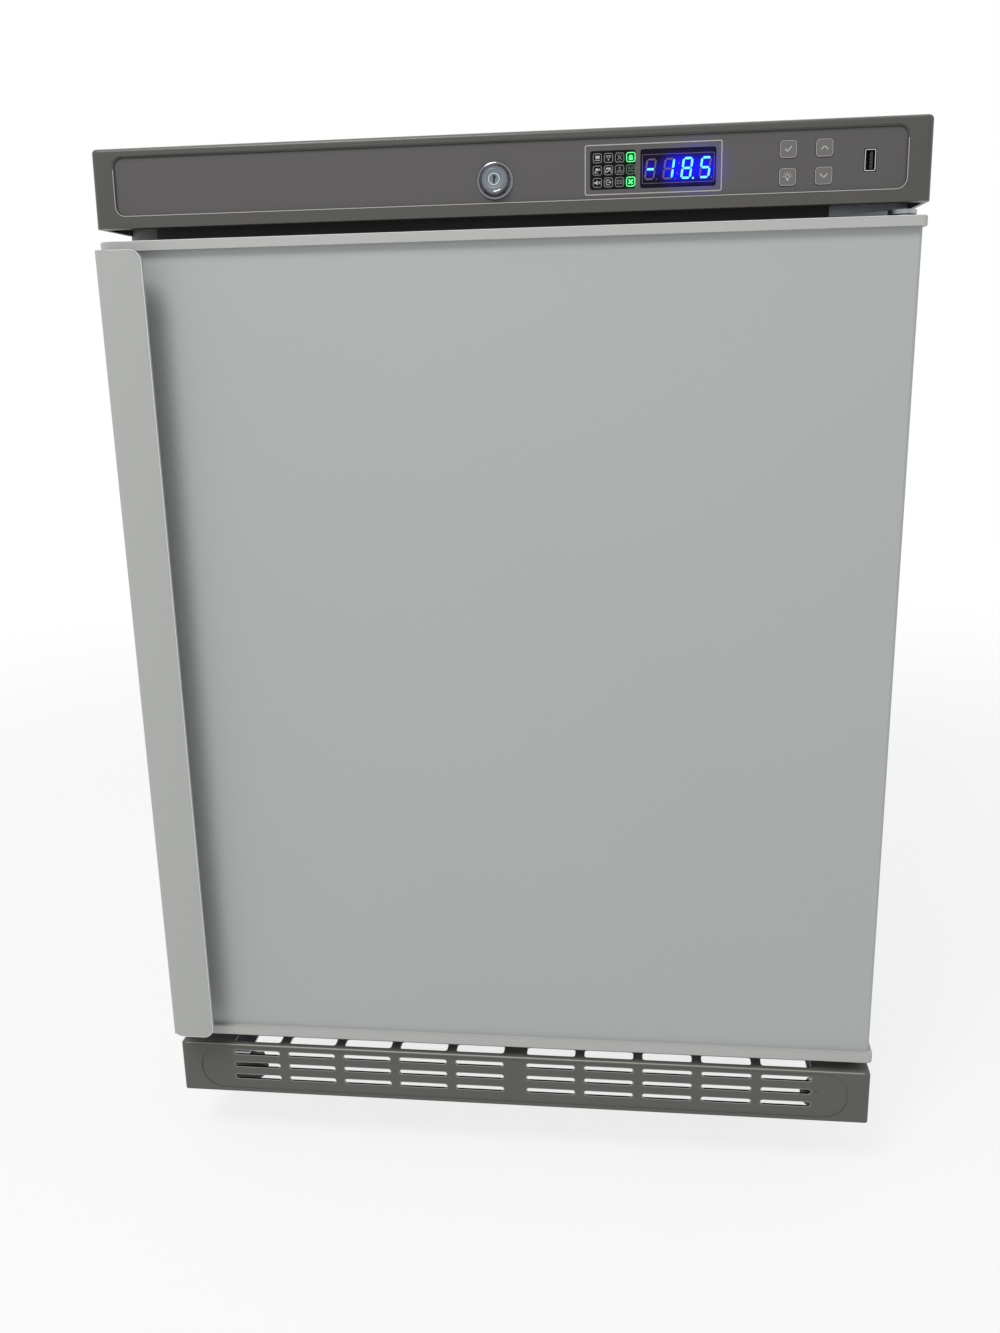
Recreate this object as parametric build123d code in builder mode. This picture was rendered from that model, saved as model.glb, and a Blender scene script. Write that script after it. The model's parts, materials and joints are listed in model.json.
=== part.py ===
from build123d import *
import os
from math import cos, radians, sin, tan

# An under-bench laboratory freezer. Millimetres, +Z up, the floor at Z 0, the door towards -Y,
# and the origin on the floor under the middle of the whole object.

# Overall size
WIDTH = 600.0
HEIGHT = 840.0
DEPTH = 600.0  # from the front of the door caps to the rear of the condenser
HANDLE_REACH = 20.0  # the handle in front of the door caps

# Heights of the front, from the floor up
FLOOR_GAP = 52.0
GRILLE_H = 47.4
DOOR_LOWER_GAP = 10.7
DOOR_UPPER_GAP = 8.6
FASCIA_H = 55.7

# Clearances
SLIDE_GAP = 0.3  # between pieces that move past each other
FIT_GAP = 0.2  # round pieces that are set into a hole
SHAFT_GAP = 0.05  # round a shaft that turns in its bore
SEAL_GAP = 0.3  # between the closed gasket and the cabinet

# Cabinet
SHEET = 1.0  # folded steel sheet
PANEL_SET_IN = 2.0  # sides inside the worktop's edge
FRONT_FLANGE = 21.0
REAR_FLANGE = 15.0
DOOR_SPACE = 58.0  # cabinet face behind the front of the door caps
REAR_SPACE = 42.0  # condenser space behind the cabinet
WORKTOP_T = 1.2
WORKTOP_SKIRT = 14.0
WORKTOP_R = 4.0
FRAME_T = 2.0
PAN_GAP = 2.0  # cabinet floor above the grille's top
BAY_DEPTH = 190.0  # machine bay, low at the rear
BAY_TOP = 268.0

# Insulation and inner box
SIDE_FOAM = 60.0
TOP_FOAM = 96.0
FLOOR_FOAM = 60.0
REAR_FOAM = 60.0
BAY_FOAM = 50.0
LINER_T = 2.0
LINER_R = 20.0
LEDGE_W = 8.0
LEDGE_H = 6.0
LEDGE_FRONT = 25.0  # where the shelf ledges start behind the cabinet face

# Evaporator shelves
SHELF_NAMES = ("lower", "middle", "upper")
FIRST_SHELF = 26.0  # above the step over the machine bay
SHELF_T = 1.5
SHELF_GAP = 1.0  # each side, to the liner
SHELF_FRONT = 30.0
SHELF_REAR_GAP = 8.0
SHELF_R = 12.0
CHANNEL_W = 9.0
CHANNEL_H = 3.0
CHANNEL_PITCH = 66.0
CHANNEL_EDGE = 30.0  # from the shelf's edges to the outermost channel's middle line

# Interior fittings
LAMP_SIZE = (180.0, 26.0, 9.0)
LAMP_R = 5.0
LAMP_TAPER = 12.0
LAMP_FRONT = 14.0
PROBE_R = 3.0
PROBE_LENGTH = 46.0
PROBE_BELOW = 52.0  # under the upper shelf
PROBE_BACK = 170.0  # from the rear wall of the liner
CLIP_LENGTH = 14.0
CLIP_WALL = 2.0

# Door
DOOR_T = 48.0
TOP_CAP_H = 7.1
BOTTOM_CAP_H = 8.6
CAP_R = 4.0
CAP_EDGE_R = 1.5
SKIN_SET_BACK = 4.5
SKIN_SIDE_GAP = 2.4
SKIN_R = 3.0
SKIN_RETURN = 12.0
DOOR_LINER_T = 2.0
DOOR_LINER_INSET = 4.0
DAM_H = 18.0
DAM_T = 14.0
DAM_INSET_X = 22.0  # inside the cabinet's inner box
DAM_INSET_Z = 28.0
DAM_R = 18.0
DAM_TAPER = 8.0
GASKET_INSET_X = 19.0
GASKET_INSET_Z = 6.0
GASKET_BASE_W = 14.0
GASKET_BASE_T = 2.4
GASKET_NECK_W = 5.0
GASKET_HEAD_W = 12.0
GASKET_HEAD_T = 4.2

# Handle, a bent profile along the whole door
HANDLE_INSET = 3.5  # inside the door's left end
HANDLE_W = 36.5
HANDLE_WALL = 3.0
HANDLE_CROWN = 0.8
HANDLE_FOOT = 21.5
HANDLE_CORNER_R = 4.5
HANDLE_EDGE_R = 1.4
HANDLE_TOP_R = 10.0
HANDLE_END_R = 9.0
HANDLE_END_GAP = 0.4
HANDLE_TRIM = 0.05  # the rounded corners are cut from just outside the long edges
SCREW_R = 2.0
SCREW_HEAD_R = 4.0
SCREW_HEAD_H = 2.2
SCREW_LENGTH = 10.0
HANDLE_SCREWS = 4
HANDLE_SCREW_END = 60.0

# Hinges
HINGE_INSET = 14.0  # axis inside the door's right end
HINGE_BACK = 22.0  # axis behind the front of the door caps
PIN_R = 4.0
PIN_REACH = 13.7
BUSH_WALL = 3.0
BUSH_LENGTH = 16.0
BUSH_FLANGE_R = 10.0
TOP_BUSH_FLANGE = 1.2
HINGE_T = 3.0
HINGE_NOSE_R = 10.0
TOP_PLATE_GAP = 2.2
BOTTOM_PLATE_DROP = 2.6
TOP_LEAF_W = 56.0
TOP_LEAF_H = 42.0
TOP_LEAF_INSET = 4.0  # inside the cabinet's right edge
BOTTOM_LEAF_W = 35.0
BOTTOM_LEAF_H = 50.0
BOTTOM_LEAF_INSET = 3.0
SCREW_EDGE = 12.0  # from a leaf's free ends to the first screw
SCREW_SPACING = 16.0

# Control fascia, its front leaning back
FASCIA_PROUD = 2.2
FASCIA_TILT = 2.65
FASCIA_WALL = 3.0
FASCIA_SIDE_R = 5.0
FASCIA_TOP_R = 3.0
FASCIA_LIP = 8.0
FASCIA_LIP_T = 2.5
RIB_T = 2.5
RIB_ENDS = (50.0, 130.0, 210.0)  # from the fascia's left end
RECESS_END = 17.0  # from the fascia's ends to the recess
RECESS_H = 40.2
RECESS_MID = 29.0
RECESS_DEPTH = 3.2
RECESS_R = 6.5
RECESS_BEVEL = 1.2
RECESS_FLOOR = 2.5
OVERLAY_T = 1.2

# What the fascia carries: places are in from its right end and up its face
ICON_WINDOW_IN = 217.55
DIGIT_WINDOW_IN = 172.05
WINDOW_UP = 27.95
ICON_WINDOW_W = 31.3
DIGIT_WINDOW_W = 52.1
WINDOW_H = 25.4
WINDOW_R = 1.5
KEY_COLUMNS_IN = (96.9, 72.45)
KEY_ROWS_UP = (37.0, 18.9)
KEY_SIZE = 11.5
KEY_R = 2.3
KEY_PROUD = 0.5
KEY_TRAVEL = 0.8
KEY_FLANGE = 1.5
KEY_FLANGE_T = 1.2
KEY_STEM_R = 2.0
SWITCH_SIZE = 6.0
SWITCH_H = 4.0
PLUNGER_R = 1.75
PLUNGER_H = 0.7
USB_IN = 41.5
USB_UP = 27.9
USB_W = 8.0
USB_H = 14.8
USB_SHELL = 0.9
TONGUE_T = 1.8
BOARD_IN = 26.0  # from the fascia's right end to the control board
BOARD_MARGIN = 5.0  # past the icon window
BOARD_H = 42.0
BOARD_T = 1.6
BOARD_GAP = 8.0  # behind the recess floor
BOSS_R = 3.0
BOSS_EDGE = 4.0  # from the board's edges to the middle of a boss

# Lock
LOCK_PLACE = (-1.0, 23.8)
LOCK_FLANGE_R = 11.5
LOCK_FLANGE_T = 1.5
LOCK_NOSE_R = 9.0
LOCK_NOSE_H = 6.0
LOCK_BODY_R = 9.4
LOCK_BODY_LENGTH = 24.0
PLUG_R = 6.0
PLUG_FACE_R = 7.7
PLUG_FACE_T = 1.2
DIMPLE_R = 3.5
DIMPLE_DEPTH = 1.0
KEYWAY = (1.2, 6.0, 10.0)
LOCK_NUT_ACROSS = 24.0
LOCK_NUT_T = 4.0
CAM_W = 14.0
CAM_T = 2.5
CAM_REACH = 35.0  # from the axis to the middle of the round tip
CAM_END = 3.0  # plug tail beyond the cam
STRIKE_WALL = 2.0
STRIKE_SLOT = 6.4
STRIKE_DEPTH = 13.0
STRIKE_MARGIN = 3.0  # past the cam's sweep at each end

# Kick grille
GRILLE_SET_BACK = 2.0
GRILLE_T = 2.5
GRILLE_LEDGE = 28.0
GRILLE_LIP = 6.0
GRILLE_EDGE_R = 2.4
GRILLE_CORNER_R = 3.0
SLOT_LENGTH = 42.0
SLOT_H = 4.4
SLOT_PITCH_X = 50.0
SLOT_PITCH_Z = 12.1
SLOT_ROWS = 3
FIRST_SLOT = 31.0
SLOT_MID = 26.9  # middle row above the grille's lower edge
PANEL_END = 17.6  # from the grille's ends to the stepped panel
PANEL_H = 42.0
PANEL_R = 20.0
PANEL_STEP = 0.8
PANEL_MID = 24.0
LEDGE_SLOT_D = 14.0
LEDGE_SLOT_R = 2.5
LEDGE_SLOT_FRONT = 5.0
VENT_DOT_R = 0.5

# Steel base and feet
RAIL_W = 38.0
RAIL_T = 2.0
CROSS_D = 20.0
FRONT_FOOT = 50.0  # behind the cabinet face
REAR_FOOT = 35.0  # in front of the cabinet's rear
FOOT_ACROSS = 34.0  # hexagonal pad, across its flats
FOOT_H = 18.0
FOOT_NECK_R = 9.0
FOOT_NECK_H = 6.0
STUD_R = 5.0
STUD_LENGTH = 52.0
NUT_ACROSS = 17.0
NUT_H = 8.0

# Machine bay
TRAY_T = 2.0
TRAY_FLANGE = 26.0
TRAY_SEAT = 7.0  # how far the tray lies on the rails
COMPRESSOR_X = -60.0
CAN_R = 72.0
CAN_H = 156.0
CAN_TOP_R = 36.0
CAN_BASE = 18.0
BELT_R = 76.0
BELT_H = 6.0
FOOT_PLATE = (200.0, 160.0, 2.5)
GROMMET_R = 10.0
GROMMET_H = 14.0
RELAY_SIZE = (28.0, 56.0, 60.0)
RELAY_R = 4.0
RELAY_PAD = 3.0  # pad between the can and the relay box
RELAY_RISE = 5.0  # above the compressor's foot plate
PIPE_R = 3.0
BEND_R = 18.0
STUB_RISE = 14.0  # discharge stub above the compressor's belt
SUCTION_RISE = 20.0  # suction stub above the can's lower slope
DISCHARGE_RUN = 90.0
RISER_GAP = 18.0  # beyond the condenser's bends
SUCTION_PLACE = (60.0, 42.0)  # across, and behind the bay's front wall
DRIER_R = 9.0
DRIER_H = 100.0
CAPILLARY_R = 1.5
GLAND_R = 11.0
GLAND_BORE_R = 4.0
GLAND_NUT_R = 9.0
GLAND_LENGTH = 16.0
GLAND_X = 150.0

# Condenser
TUBE_R = 2.5
WIRE_R = 0.8
WIRE_WELD = 0.3  # how far the wires sink into the tube
WIRE_PITCH = 25.0
WIRE_END = 5.0  # from the outermost wire to the tube's bends, at least
TUBE_PITCH = 56.0
TUBE_END = 95.0  # from the sides of the object to the tube's bends
TUBE_RISE = 42.0  # lowest run above the machine bay
TUBE_TOP_GAP = 60.0  # highest run below the worktop, at least
BRACKET_W = 20.0
BRACKET_T = 2.0
BRACKET_FOOT = 18.0

# Planes and levels that follow
FRONT_Y = (HANDLE_REACH - DEPTH) / 2
REAR_Y = FRONT_Y + DEPTH
FACE_Y = FRONT_Y + DOOR_SPACE
BODY_REAR_Y = REAR_Y - REAR_SPACE
BAY_Y = BODY_REAR_Y - BAY_DEPTH
GRILLE_TOP = FLOOR_GAP + GRILLE_H
DOOR_BOTTOM = GRILLE_TOP + DOOR_LOWER_GAP
FASCIA_BOTTOM = HEIGHT - FASCIA_H
DOOR_TOP = FASCIA_BOTTOM - DOOR_UPPER_GAP
PAN_BOTTOM = GRILLE_TOP + PAN_GAP
PANEL_TOP = HEIGHT - WORKTOP_T
PANEL_X = WIDTH / 2 - PANEL_SET_IN
FOAM_X = PANEL_X - SHEET
FLANGE_X = PANEL_X - FRONT_FLANGE
LINER_X = FOAM_X - SIDE_FOAM
LINER_BOTTOM = PAN_BOTTOM + SHEET + FLOOR_FOAM
LINER_TOP = PANEL_TOP - TOP_FOAM
LINER_REAR = BODY_REAR_Y - SHEET - REAR_FOAM
STEP_Y = BAY_Y - BAY_FOAM
STEP_Z = BAY_TOP + SHEET + BAY_FOAM
SHELF_DEPTH = LINER_REAR - LINER_T - SHELF_REAR_GAP - FACE_Y - SHELF_FRONT
SHELF_HALF = LINER_X - LINER_T - SHELF_GAP
SHELF_LOW = STEP_Z + FIRST_SHELF
SHELF_PITCH = (LINER_TOP - LINER_T - SHELF_LOW) / len(SHELF_NAMES)
SHELF_LEVELS = {name: SHELF_LOW + SHELF_PITCH * i for i, name in enumerate(SHELF_NAMES)}
CHANNEL_HALF = SHELF_HALF - CHANNEL_EDGE - CHANNEL_PITCH / 2
CHANNEL_RUNS = int((SHELF_DEPTH - 2 * CHANNEL_EDGE) / CHANNEL_PITCH) + 1
DOOR_BACK = FRONT_Y + DOOR_T
SKIN_Y = FRONT_Y + SKIN_SET_BACK
SKIN_X = WIDTH / 2 - SKIN_SIDE_GAP
SKIN_BOTTOM = DOOR_BOTTOM + BOTTOM_CAP_H
SKIN_TOP = DOOR_TOP - TOP_CAP_H
SKIN_BACK = DOOR_BACK - DOOR_LINER_T
HINGE_X = WIDTH / 2 - HINGE_INSET
HINGE_Y = FRONT_Y + HINGE_BACK
TOP_LEAF = (WIDTH / 2 - TOP_LEAF_INSET - TOP_LEAF_W, WIDTH / 2 - TOP_LEAF_INSET)
BOTTOM_LEAF = (WIDTH / 2 - BOTTOM_LEAF_INSET - BOTTOM_LEAF_W, WIDTH / 2 - BOTTOM_LEAF_INSET)
HANDLE_LEFT = WIDTH / 2 - HANDLE_INSET
HANDLE_RIGHT = HANDLE_LEFT - HANDLE_W
HANDLE_Y = FRONT_Y - HANDLE_REACH
TOP_PLATE = DOOR_TOP + TOP_PLATE_GAP
BOTTOM_PLATE = DOOR_BOTTOM - BOTTOM_PLATE_DROP
FASCIA_FACE = Plane(
    origin=(0, FRONT_Y - FASCIA_PROUD, FASCIA_BOTTOM),
    x_dir=(1, 0, 0),
    z_dir=(0, -cos(radians(FASCIA_TILT)), sin(radians(FASCIA_TILT))),
)
RECESS_W = WIDTH - 2 * RECESS_END
ICON_WINDOW = (WIDTH / 2 - ICON_WINDOW_IN, WINDOW_UP, ICON_WINDOW_W, WINDOW_H)
DIGIT_WINDOW = (WIDTH / 2 - DIGIT_WINDOW_IN, WINDOW_UP, DIGIT_WINDOW_W, WINDOW_H)
KEYS = {
    "confirm": (WIDTH / 2 - KEY_COLUMNS_IN[0], KEY_ROWS_UP[0]),
    "up": (WIDTH / 2 - KEY_COLUMNS_IN[1], KEY_ROWS_UP[0]),
    "lamp": (WIDTH / 2 - KEY_COLUMNS_IN[0], KEY_ROWS_UP[1]),
    "down": (WIDTH / 2 - KEY_COLUMNS_IN[1], KEY_ROWS_UP[1]),
}
USB_PLACE = (WIDTH / 2 - USB_IN, USB_UP)
BOARD_SPAN = (ICON_WINDOW[0] - ICON_WINDOW_W / 2 - BOARD_MARGIN, WIDTH / 2 - BOARD_IN)
OVERLAY_TOP = RECESS_DEPTH - OVERLAY_T
FLOOR_BACK = RECESS_DEPTH + RECESS_FLOOR
BOARD_FRONT = FLOOR_BACK + BOARD_GAP
PANEL_W = WIDTH - 2 * PANEL_END
SLOTS_PER_SIDE = int((PANEL_W / 2 - PANEL_R - SLOT_LENGTH / 2 - FIRST_SLOT) / SLOT_PITCH_X) + 1
FOOT_X = FOAM_X - RAIL_W / 2
TRAY_HALF = FOAM_X - RAIL_W + TRAY_SEAT
TRAY_TOP = FLOOR_GAP + RAIL_T + TRAY_T
COMPRESSOR_Y = BODY_REAR_Y - BAY_DEPTH / 2
WIRE_OFFSET = TUBE_R + WIRE_R - WIRE_WELD
TUBE_Y = REAR_Y - WIRE_OFFSET - WIRE_R
TUBE_HALF = WIDTH / 2 - TUBE_END
TUBE_BOTTOM = BAY_TOP + TUBE_RISE
TUBE_RUNS = 2 * int((PANEL_TOP - TUBE_TOP_GAP - TUBE_BOTTOM) / TUBE_PITCH / 2) + 1
TUBE_TOP = TUBE_BOTTOM + (TUBE_RUNS - 1) * TUBE_PITCH
WIRES = 2 * int((TUBE_HALF - WIRE_END) / WIRE_PITCH) + 1


def block(low, high, mode=Mode.ADD):
    """A box from its lowest to its highest corner."""
    size = [top - bottom for bottom, top in zip(low, high)]
    with Locations(low):
        Box(*size, align=(Align.MIN, Align.MIN, Align.MIN), mode=mode)


def side_panel(side):
    """One steel side of the cabinet, with its folded front and rear flanges."""
    with BuildPart() as panel:
        with BuildSketch(Plane.XY.offset(FLOOR_GAP)):
            with Locations((side * PANEL_X, FACE_Y)):
                corner = (Align.MIN if side < 0 else Align.MAX, Align.MIN)
                Rectangle(SHEET, BODY_REAR_Y - FACE_Y, align=corner)
                Rectangle(FRONT_FLANGE, SHEET, align=corner)
            with Locations((side * PANEL_X, BODY_REAR_Y)):
                Rectangle(REAR_FLANGE, SHEET, align=(corner[0], Align.MAX))
        extrude(amount=PANEL_TOP - FLOOR_GAP)
    return panel.part


def liner_space(inset):
    """The room inside the cabinet foam, stepped over the machine bay, less a wall all round."""
    with BuildPart() as space:
        with BuildSketch(Plane.YZ):
            with BuildLine():
                Polyline(
                    (FACE_Y, LINER_BOTTOM + inset),
                    (STEP_Y - inset, LINER_BOTTOM + inset),
                    (STEP_Y - inset, STEP_Z + inset),
                    (LINER_REAR - inset, STEP_Z + inset),
                    (LINER_REAR - inset, LINER_TOP - inset),
                    (FACE_Y, LINER_TOP - inset),
                    close=True,
                )
            make_face()
        extrude(amount=LINER_X - inset, both=True)
        fillet(space.edges().filter_by(Axis.Y), LINER_R - inset)
    return space.part


def key_outline(grow):
    """A square key with rounded corners, grown all round."""
    RectangleRounded(KEY_SIZE + 2 * grow, KEY_SIZE + 2 * grow, KEY_R + grow)


def window_outline(window, grow):
    """A display window with rounded corners, grown all round."""
    across, up, width, height = window
    with Locations((across, up)):
        RectangleRounded(width + 2 * grow, height + 2 * grow, WINDOW_R + grow)


def fascia_openings():
    """The holes for the windows, keys, lock and socket, as they pass the overlay and the recess floor."""
    window_outline(ICON_WINDOW, FIT_GAP)
    window_outline(DIGIT_WINDOW, FIT_GAP)
    with Locations(*KEYS.values()):
        key_outline(SLIDE_GAP)
    with Locations(LOCK_PLACE):
        Circle(LOCK_BODY_R + FIT_GAP)
    with Locations(USB_PLACE):
        Rectangle(USB_W + 2 * FIT_GAP, USB_H + 2 * FIT_GAP)


def board_bosses():
    """Where the control board is held, across the fascia and up its face."""
    ends = (BOARD_SPAN[0] + BOSS_EDGE, BOARD_SPAN[1] - BOSS_EDGE)
    reach = BOARD_H / 2 - BOSS_EDGE
    return [(across, RECESS_MID + side * reach) for across in ends for side in (-1, 1)]


def push_key(place):
    """A sprung key cap with its retaining flange and stem."""
    cap_depth = OVERLAY_TOP - KEY_PROUD
    flange_depth = FLOOR_BACK + SLIDE_GAP
    stem_end = BOARD_FRONT - SWITCH_H - PLUNGER_H - SLIDE_GAP - KEY_TRAVEL
    with BuildPart() as key:
        with BuildSketch(FASCIA_FACE.offset(-cap_depth)):
            with Locations(place):
                key_outline(0)
        extrude(amount=cap_depth - flange_depth)
        with BuildSketch(FASCIA_FACE.offset(-flange_depth)):
            with Locations(place):
                key_outline(KEY_FLANGE)
        extrude(amount=-KEY_FLANGE_T)
        with BuildSketch(FASCIA_FACE.offset(-flange_depth - KEY_FLANGE_T)):
            with Locations(place):
                Circle(KEY_STEM_R)
        extrude(amount=flange_depth + KEY_FLANGE_T - stem_end)
    return key.part


def slot_columns():
    """Middles of the slot columns across the grille."""
    right = [FIRST_SLOT + SLOT_PITCH_X * i for i in range(SLOTS_PER_SIDE)]
    return [-x for x in reversed(right)] + right


def levelling_foot(x, y):
    """A hexagonal plastic pad with a tapered neck, moulded on its steel stud."""
    with BuildPart() as foot:
        with BuildSketch():
            with Locations((x, y)):
                RegularPolygon(FOOT_ACROSS / 2, 6, major_radius=False)
        extrude(amount=FOOT_H - FOOT_NECK_H)
        with Locations((x, y, FOOT_H - FOOT_NECK_H)):
            Cone(FOOT_ACROSS / 2, FOOT_NECK_R, FOOT_NECK_H, align=(Align.CENTER, Align.CENTER, Align.MIN))
        with Locations((x, y, FOOT_H)):
            Cylinder(STUD_R - SHAFT_GAP, STUD_LENGTH, align=(Align.CENTER, Align.CENTER, Align.MIN))
    return foot.part


def foot_places():
    """The four feet by name."""
    return {
        "front_left": (-FOOT_X, FACE_Y + FRONT_FOOT),
        "front_right": (FOOT_X, FACE_Y + FRONT_FOOT),
        "rear_left": (-FOOT_X, BODY_REAR_Y - REAR_FOOT),
        "rear_right": (FOOT_X, BODY_REAR_Y - REAR_FOOT),
    }


def evaporator_shelf(level):
    """A shelf plate with the refrigerant channel raised on its underside."""
    middle = FACE_Y + SHELF_FRONT + SHELF_DEPTH / 2
    first = -CHANNEL_PITCH * (CHANNEL_RUNS - 1) / 2
    with BuildPart() as shelf:
        with BuildSketch(Plane.XY.offset(level)):
            with Locations((0, middle)):
                RectangleRounded(2 * SHELF_HALF, SHELF_DEPTH, SHELF_R)
        extrude(amount=SHELF_T)
        with BuildSketch(Plane((0, middle, level))):
            with BuildLine():
                for run in range(CHANNEL_RUNS):
                    side = 1 if run % 2 == 0 else -1
                    y = first + run * CHANNEL_PITCH
                    Line((-side * CHANNEL_HALF, y), (side * CHANNEL_HALF, y))
                    if run < CHANNEL_RUNS - 1:
                        half = CHANNEL_PITCH / 2
                        top = (side * CHANNEL_HALF, y + CHANNEL_PITCH)
                        bulge = (side * (CHANNEL_HALF + half), y + half)
                        ThreePointArc((side * CHANNEL_HALF, y), bulge, top)
            trace(line_width=CHANNEL_W)
        extrude(amount=-CHANNEL_H)
    return shelf.part


def pipe(points, radius, bend):
    """A bent tube, solid inside, along straight runs joined by arcs."""
    with BuildPart() as tube:
        with BuildLine() as path:
            FilletPolyline(*points, radius=bend)
        with BuildSketch(path.line ^ 0):
            Circle(radius)
        sweep()
    return tube.part


def handle_ends():
    """The room that the handle fills, with the rounded corners of its front wall."""
    bottom = SKIN_BOTTOM + HANDLE_END_GAP
    top = SKIN_TOP - HANDLE_END_GAP
    left = -HANDLE_LEFT - HANDLE_TRIM
    right = -HANDLE_RIGHT + HANDLE_TRIM
    with BuildPart() as room:
        with BuildSketch(Plane.XZ.offset(-HANDLE_Y - HANDLE_WALL - HANDLE_CROWN)) as front:
            with Locations((left, bottom)):
                Rectangle(right - left, top - bottom, align=(Align.MIN, Align.MIN))
            fillet(front.vertices().group_by(Axis.Y)[0], HANDLE_END_R)
            fillet(front.vertices().group_by(Axis.Y)[-1].sort_by(Axis.X)[-1], HANDLE_TOP_R)
        extrude(amount=2 * (HANDLE_WALL + HANDLE_CROWN))
        block((left, HANDLE_Y + HANDLE_WALL + HANDLE_CROWN, bottom), (right, SKIN_Y, top))
    return room.part


os.makedirs("parts", exist_ok=True)

# Cabinet sides, top and sheets
side_panel_left = side_panel(-1)
side_panel_left.label = "side_panel_left"
export_step(side_panel_left, "parts/side_panel_left.step")

side_panel_right = side_panel(1)
side_panel_right.label = "side_panel_right"
export_step(side_panel_right, "parts/side_panel_right.step")

with BuildPart() as worktop:
    block(
        (-WIDTH / 2, FACE_Y, PANEL_TOP - WORKTOP_SKIRT),
        (WIDTH / 2, BODY_REAR_Y + WORKTOP_T, HEIGHT),
    )
    fillet(worktop.edges().filter_by(Axis.Z).group_by(Axis.Y)[-1], WORKTOP_R)
    block(
        (-WIDTH / 2 + WORKTOP_T, FACE_Y, PANEL_TOP - WORKTOP_SKIRT),
        (WIDTH / 2 - WORKTOP_T, BODY_REAR_Y, PANEL_TOP),
        mode=Mode.SUBTRACT,
    )
worktop.part.label = "worktop"
export_step(worktop.part, "parts/worktop.step")

with BuildPart() as front_frame:
    block((-FLANGE_X, FACE_Y, PAN_BOTTOM), (FLANGE_X, FACE_Y + FRAME_T, PANEL_TOP))
    add(liner_space(0), mode=Mode.SUBTRACT)
front_frame.part.label = "front_frame"
export_step(front_frame.part, "parts/front_frame.step")

with BuildPart() as back_panel:
    back_x = PANEL_X - REAR_FLANGE
    block((-back_x, BODY_REAR_Y - SHEET, BAY_TOP + SHEET), (back_x, BODY_REAR_Y, PANEL_TOP))
back_panel.part.label = "back_panel"
export_step(back_panel.part, "parts/back_panel.step")

with BuildPart() as floor_pan:
    block((-FOAM_X, FACE_Y + FRAME_T, PAN_BOTTOM), (FOAM_X, BAY_Y, PAN_BOTTOM + SHEET))
    block((-FOAM_X, BAY_Y - SHEET, PAN_BOTTOM), (FOAM_X, BAY_Y, BAY_TOP + SHEET))
    block((-FOAM_X, BAY_Y - SHEET, BAY_TOP), (FOAM_X, BODY_REAR_Y - SHEET, BAY_TOP + SHEET))
floor_pan.part.label = "floor_pan"
export_step(floor_pan.part, "parts/floor_pan.step")

# Insulation and inner box
with BuildPart() as cabinet_foam:
    block(
        (-FOAM_X, FACE_Y + FRAME_T, PAN_BOTTOM + SHEET),
        (FOAM_X, BODY_REAR_Y - SHEET, PANEL_TOP),
    )
    block(
        (-FOAM_X, BAY_Y - SHEET, PAN_BOTTOM + SHEET),
        (FOAM_X, BODY_REAR_Y - SHEET, BAY_TOP + SHEET),
        mode=Mode.SUBTRACT,
    )
    add(liner_space(0), mode=Mode.SUBTRACT)
cabinet_foam.part.label = "cabinet_foam"
export_step(cabinet_foam.part, "parts/cabinet_foam.step")

with BuildPart() as inner_liner:
    add(liner_space(0))
    add(liner_space(LINER_T), mode=Mode.SUBTRACT)
    inner_x = LINER_X - LINER_T
    for level in SHELF_LEVELS.values():
        for side in (-1, 1):
            edges = sorted((side * inner_x, side * (inner_x - LEDGE_W)))
            block(
                (edges[0], FACE_Y + LEDGE_FRONT, level - LEDGE_H),
                (edges[1], LINER_REAR - LINER_T, level),
            )
inner_liner.part.label = "inner_liner"
export_step(inner_liner.part, "parts/inner_liner.step")

for name, level in SHELF_LEVELS.items():
    shelf = evaporator_shelf(level)
    shelf.label = f"evaporator_shelf_{name}"
    export_step(shelf, f"parts/evaporator_shelf_{name}.step")

with BuildPart() as interior_lamp:
    lamp_y = FACE_Y + LAMP_FRONT + LAMP_SIZE[1] / 2
    with BuildSketch(Plane.XY.offset(LINER_TOP - LINER_T)):
        with Locations((0, lamp_y)):
            RectangleRounded(LAMP_SIZE[0], LAMP_SIZE[1], LAMP_R)
    extrude(amount=-LAMP_SIZE[2], taper=LAMP_TAPER)
interior_lamp.part.label = "interior_lamp"
export_step(interior_lamp.part, "parts/interior_lamp.step")

probe_x = LINER_X - LINER_T - CLIP_WALL - PROBE_R
probe_y = LINER_REAR - PROBE_BACK
probe_z = SHELF_LEVELS["upper"] - PROBE_BELOW

with BuildPart() as temperature_probe:
    with BuildSketch(Plane.XZ.offset(-probe_y)):
        with Locations((probe_x, probe_z)):
            Circle(PROBE_R)
    extrude(amount=PROBE_LENGTH / 2, both=True)
    fillet(temperature_probe.edges().group_by(Axis.Y)[0], PROBE_R / 2)
temperature_probe.part.label = "temperature_probe"
export_step(temperature_probe.part, "parts/temperature_probe.step")

with BuildPart() as probe_clip:
    block(
        (probe_x - PROBE_R, probe_y - CLIP_LENGTH / 2, probe_z - PROBE_R - CLIP_WALL),
        (LINER_X - LINER_T, probe_y + CLIP_LENGTH / 2, probe_z + PROBE_R + CLIP_WALL),
    )
    with BuildSketch(Plane.XZ.offset(-probe_y)):
        with Locations((probe_x, probe_z)):
            Circle(PROBE_R)
    extrude(amount=CLIP_LENGTH, both=True, mode=Mode.SUBTRACT)
    block(
        (probe_x - 2 * PROBE_R, probe_y - CLIP_LENGTH, probe_z - PROBE_R / 2),
        (probe_x, probe_y + CLIP_LENGTH, probe_z + PROBE_R / 2),
        mode=Mode.SUBTRACT,
    )
probe_clip.part.label = "probe_clip"
export_step(probe_clip.part, "parts/probe_clip.step")

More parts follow.
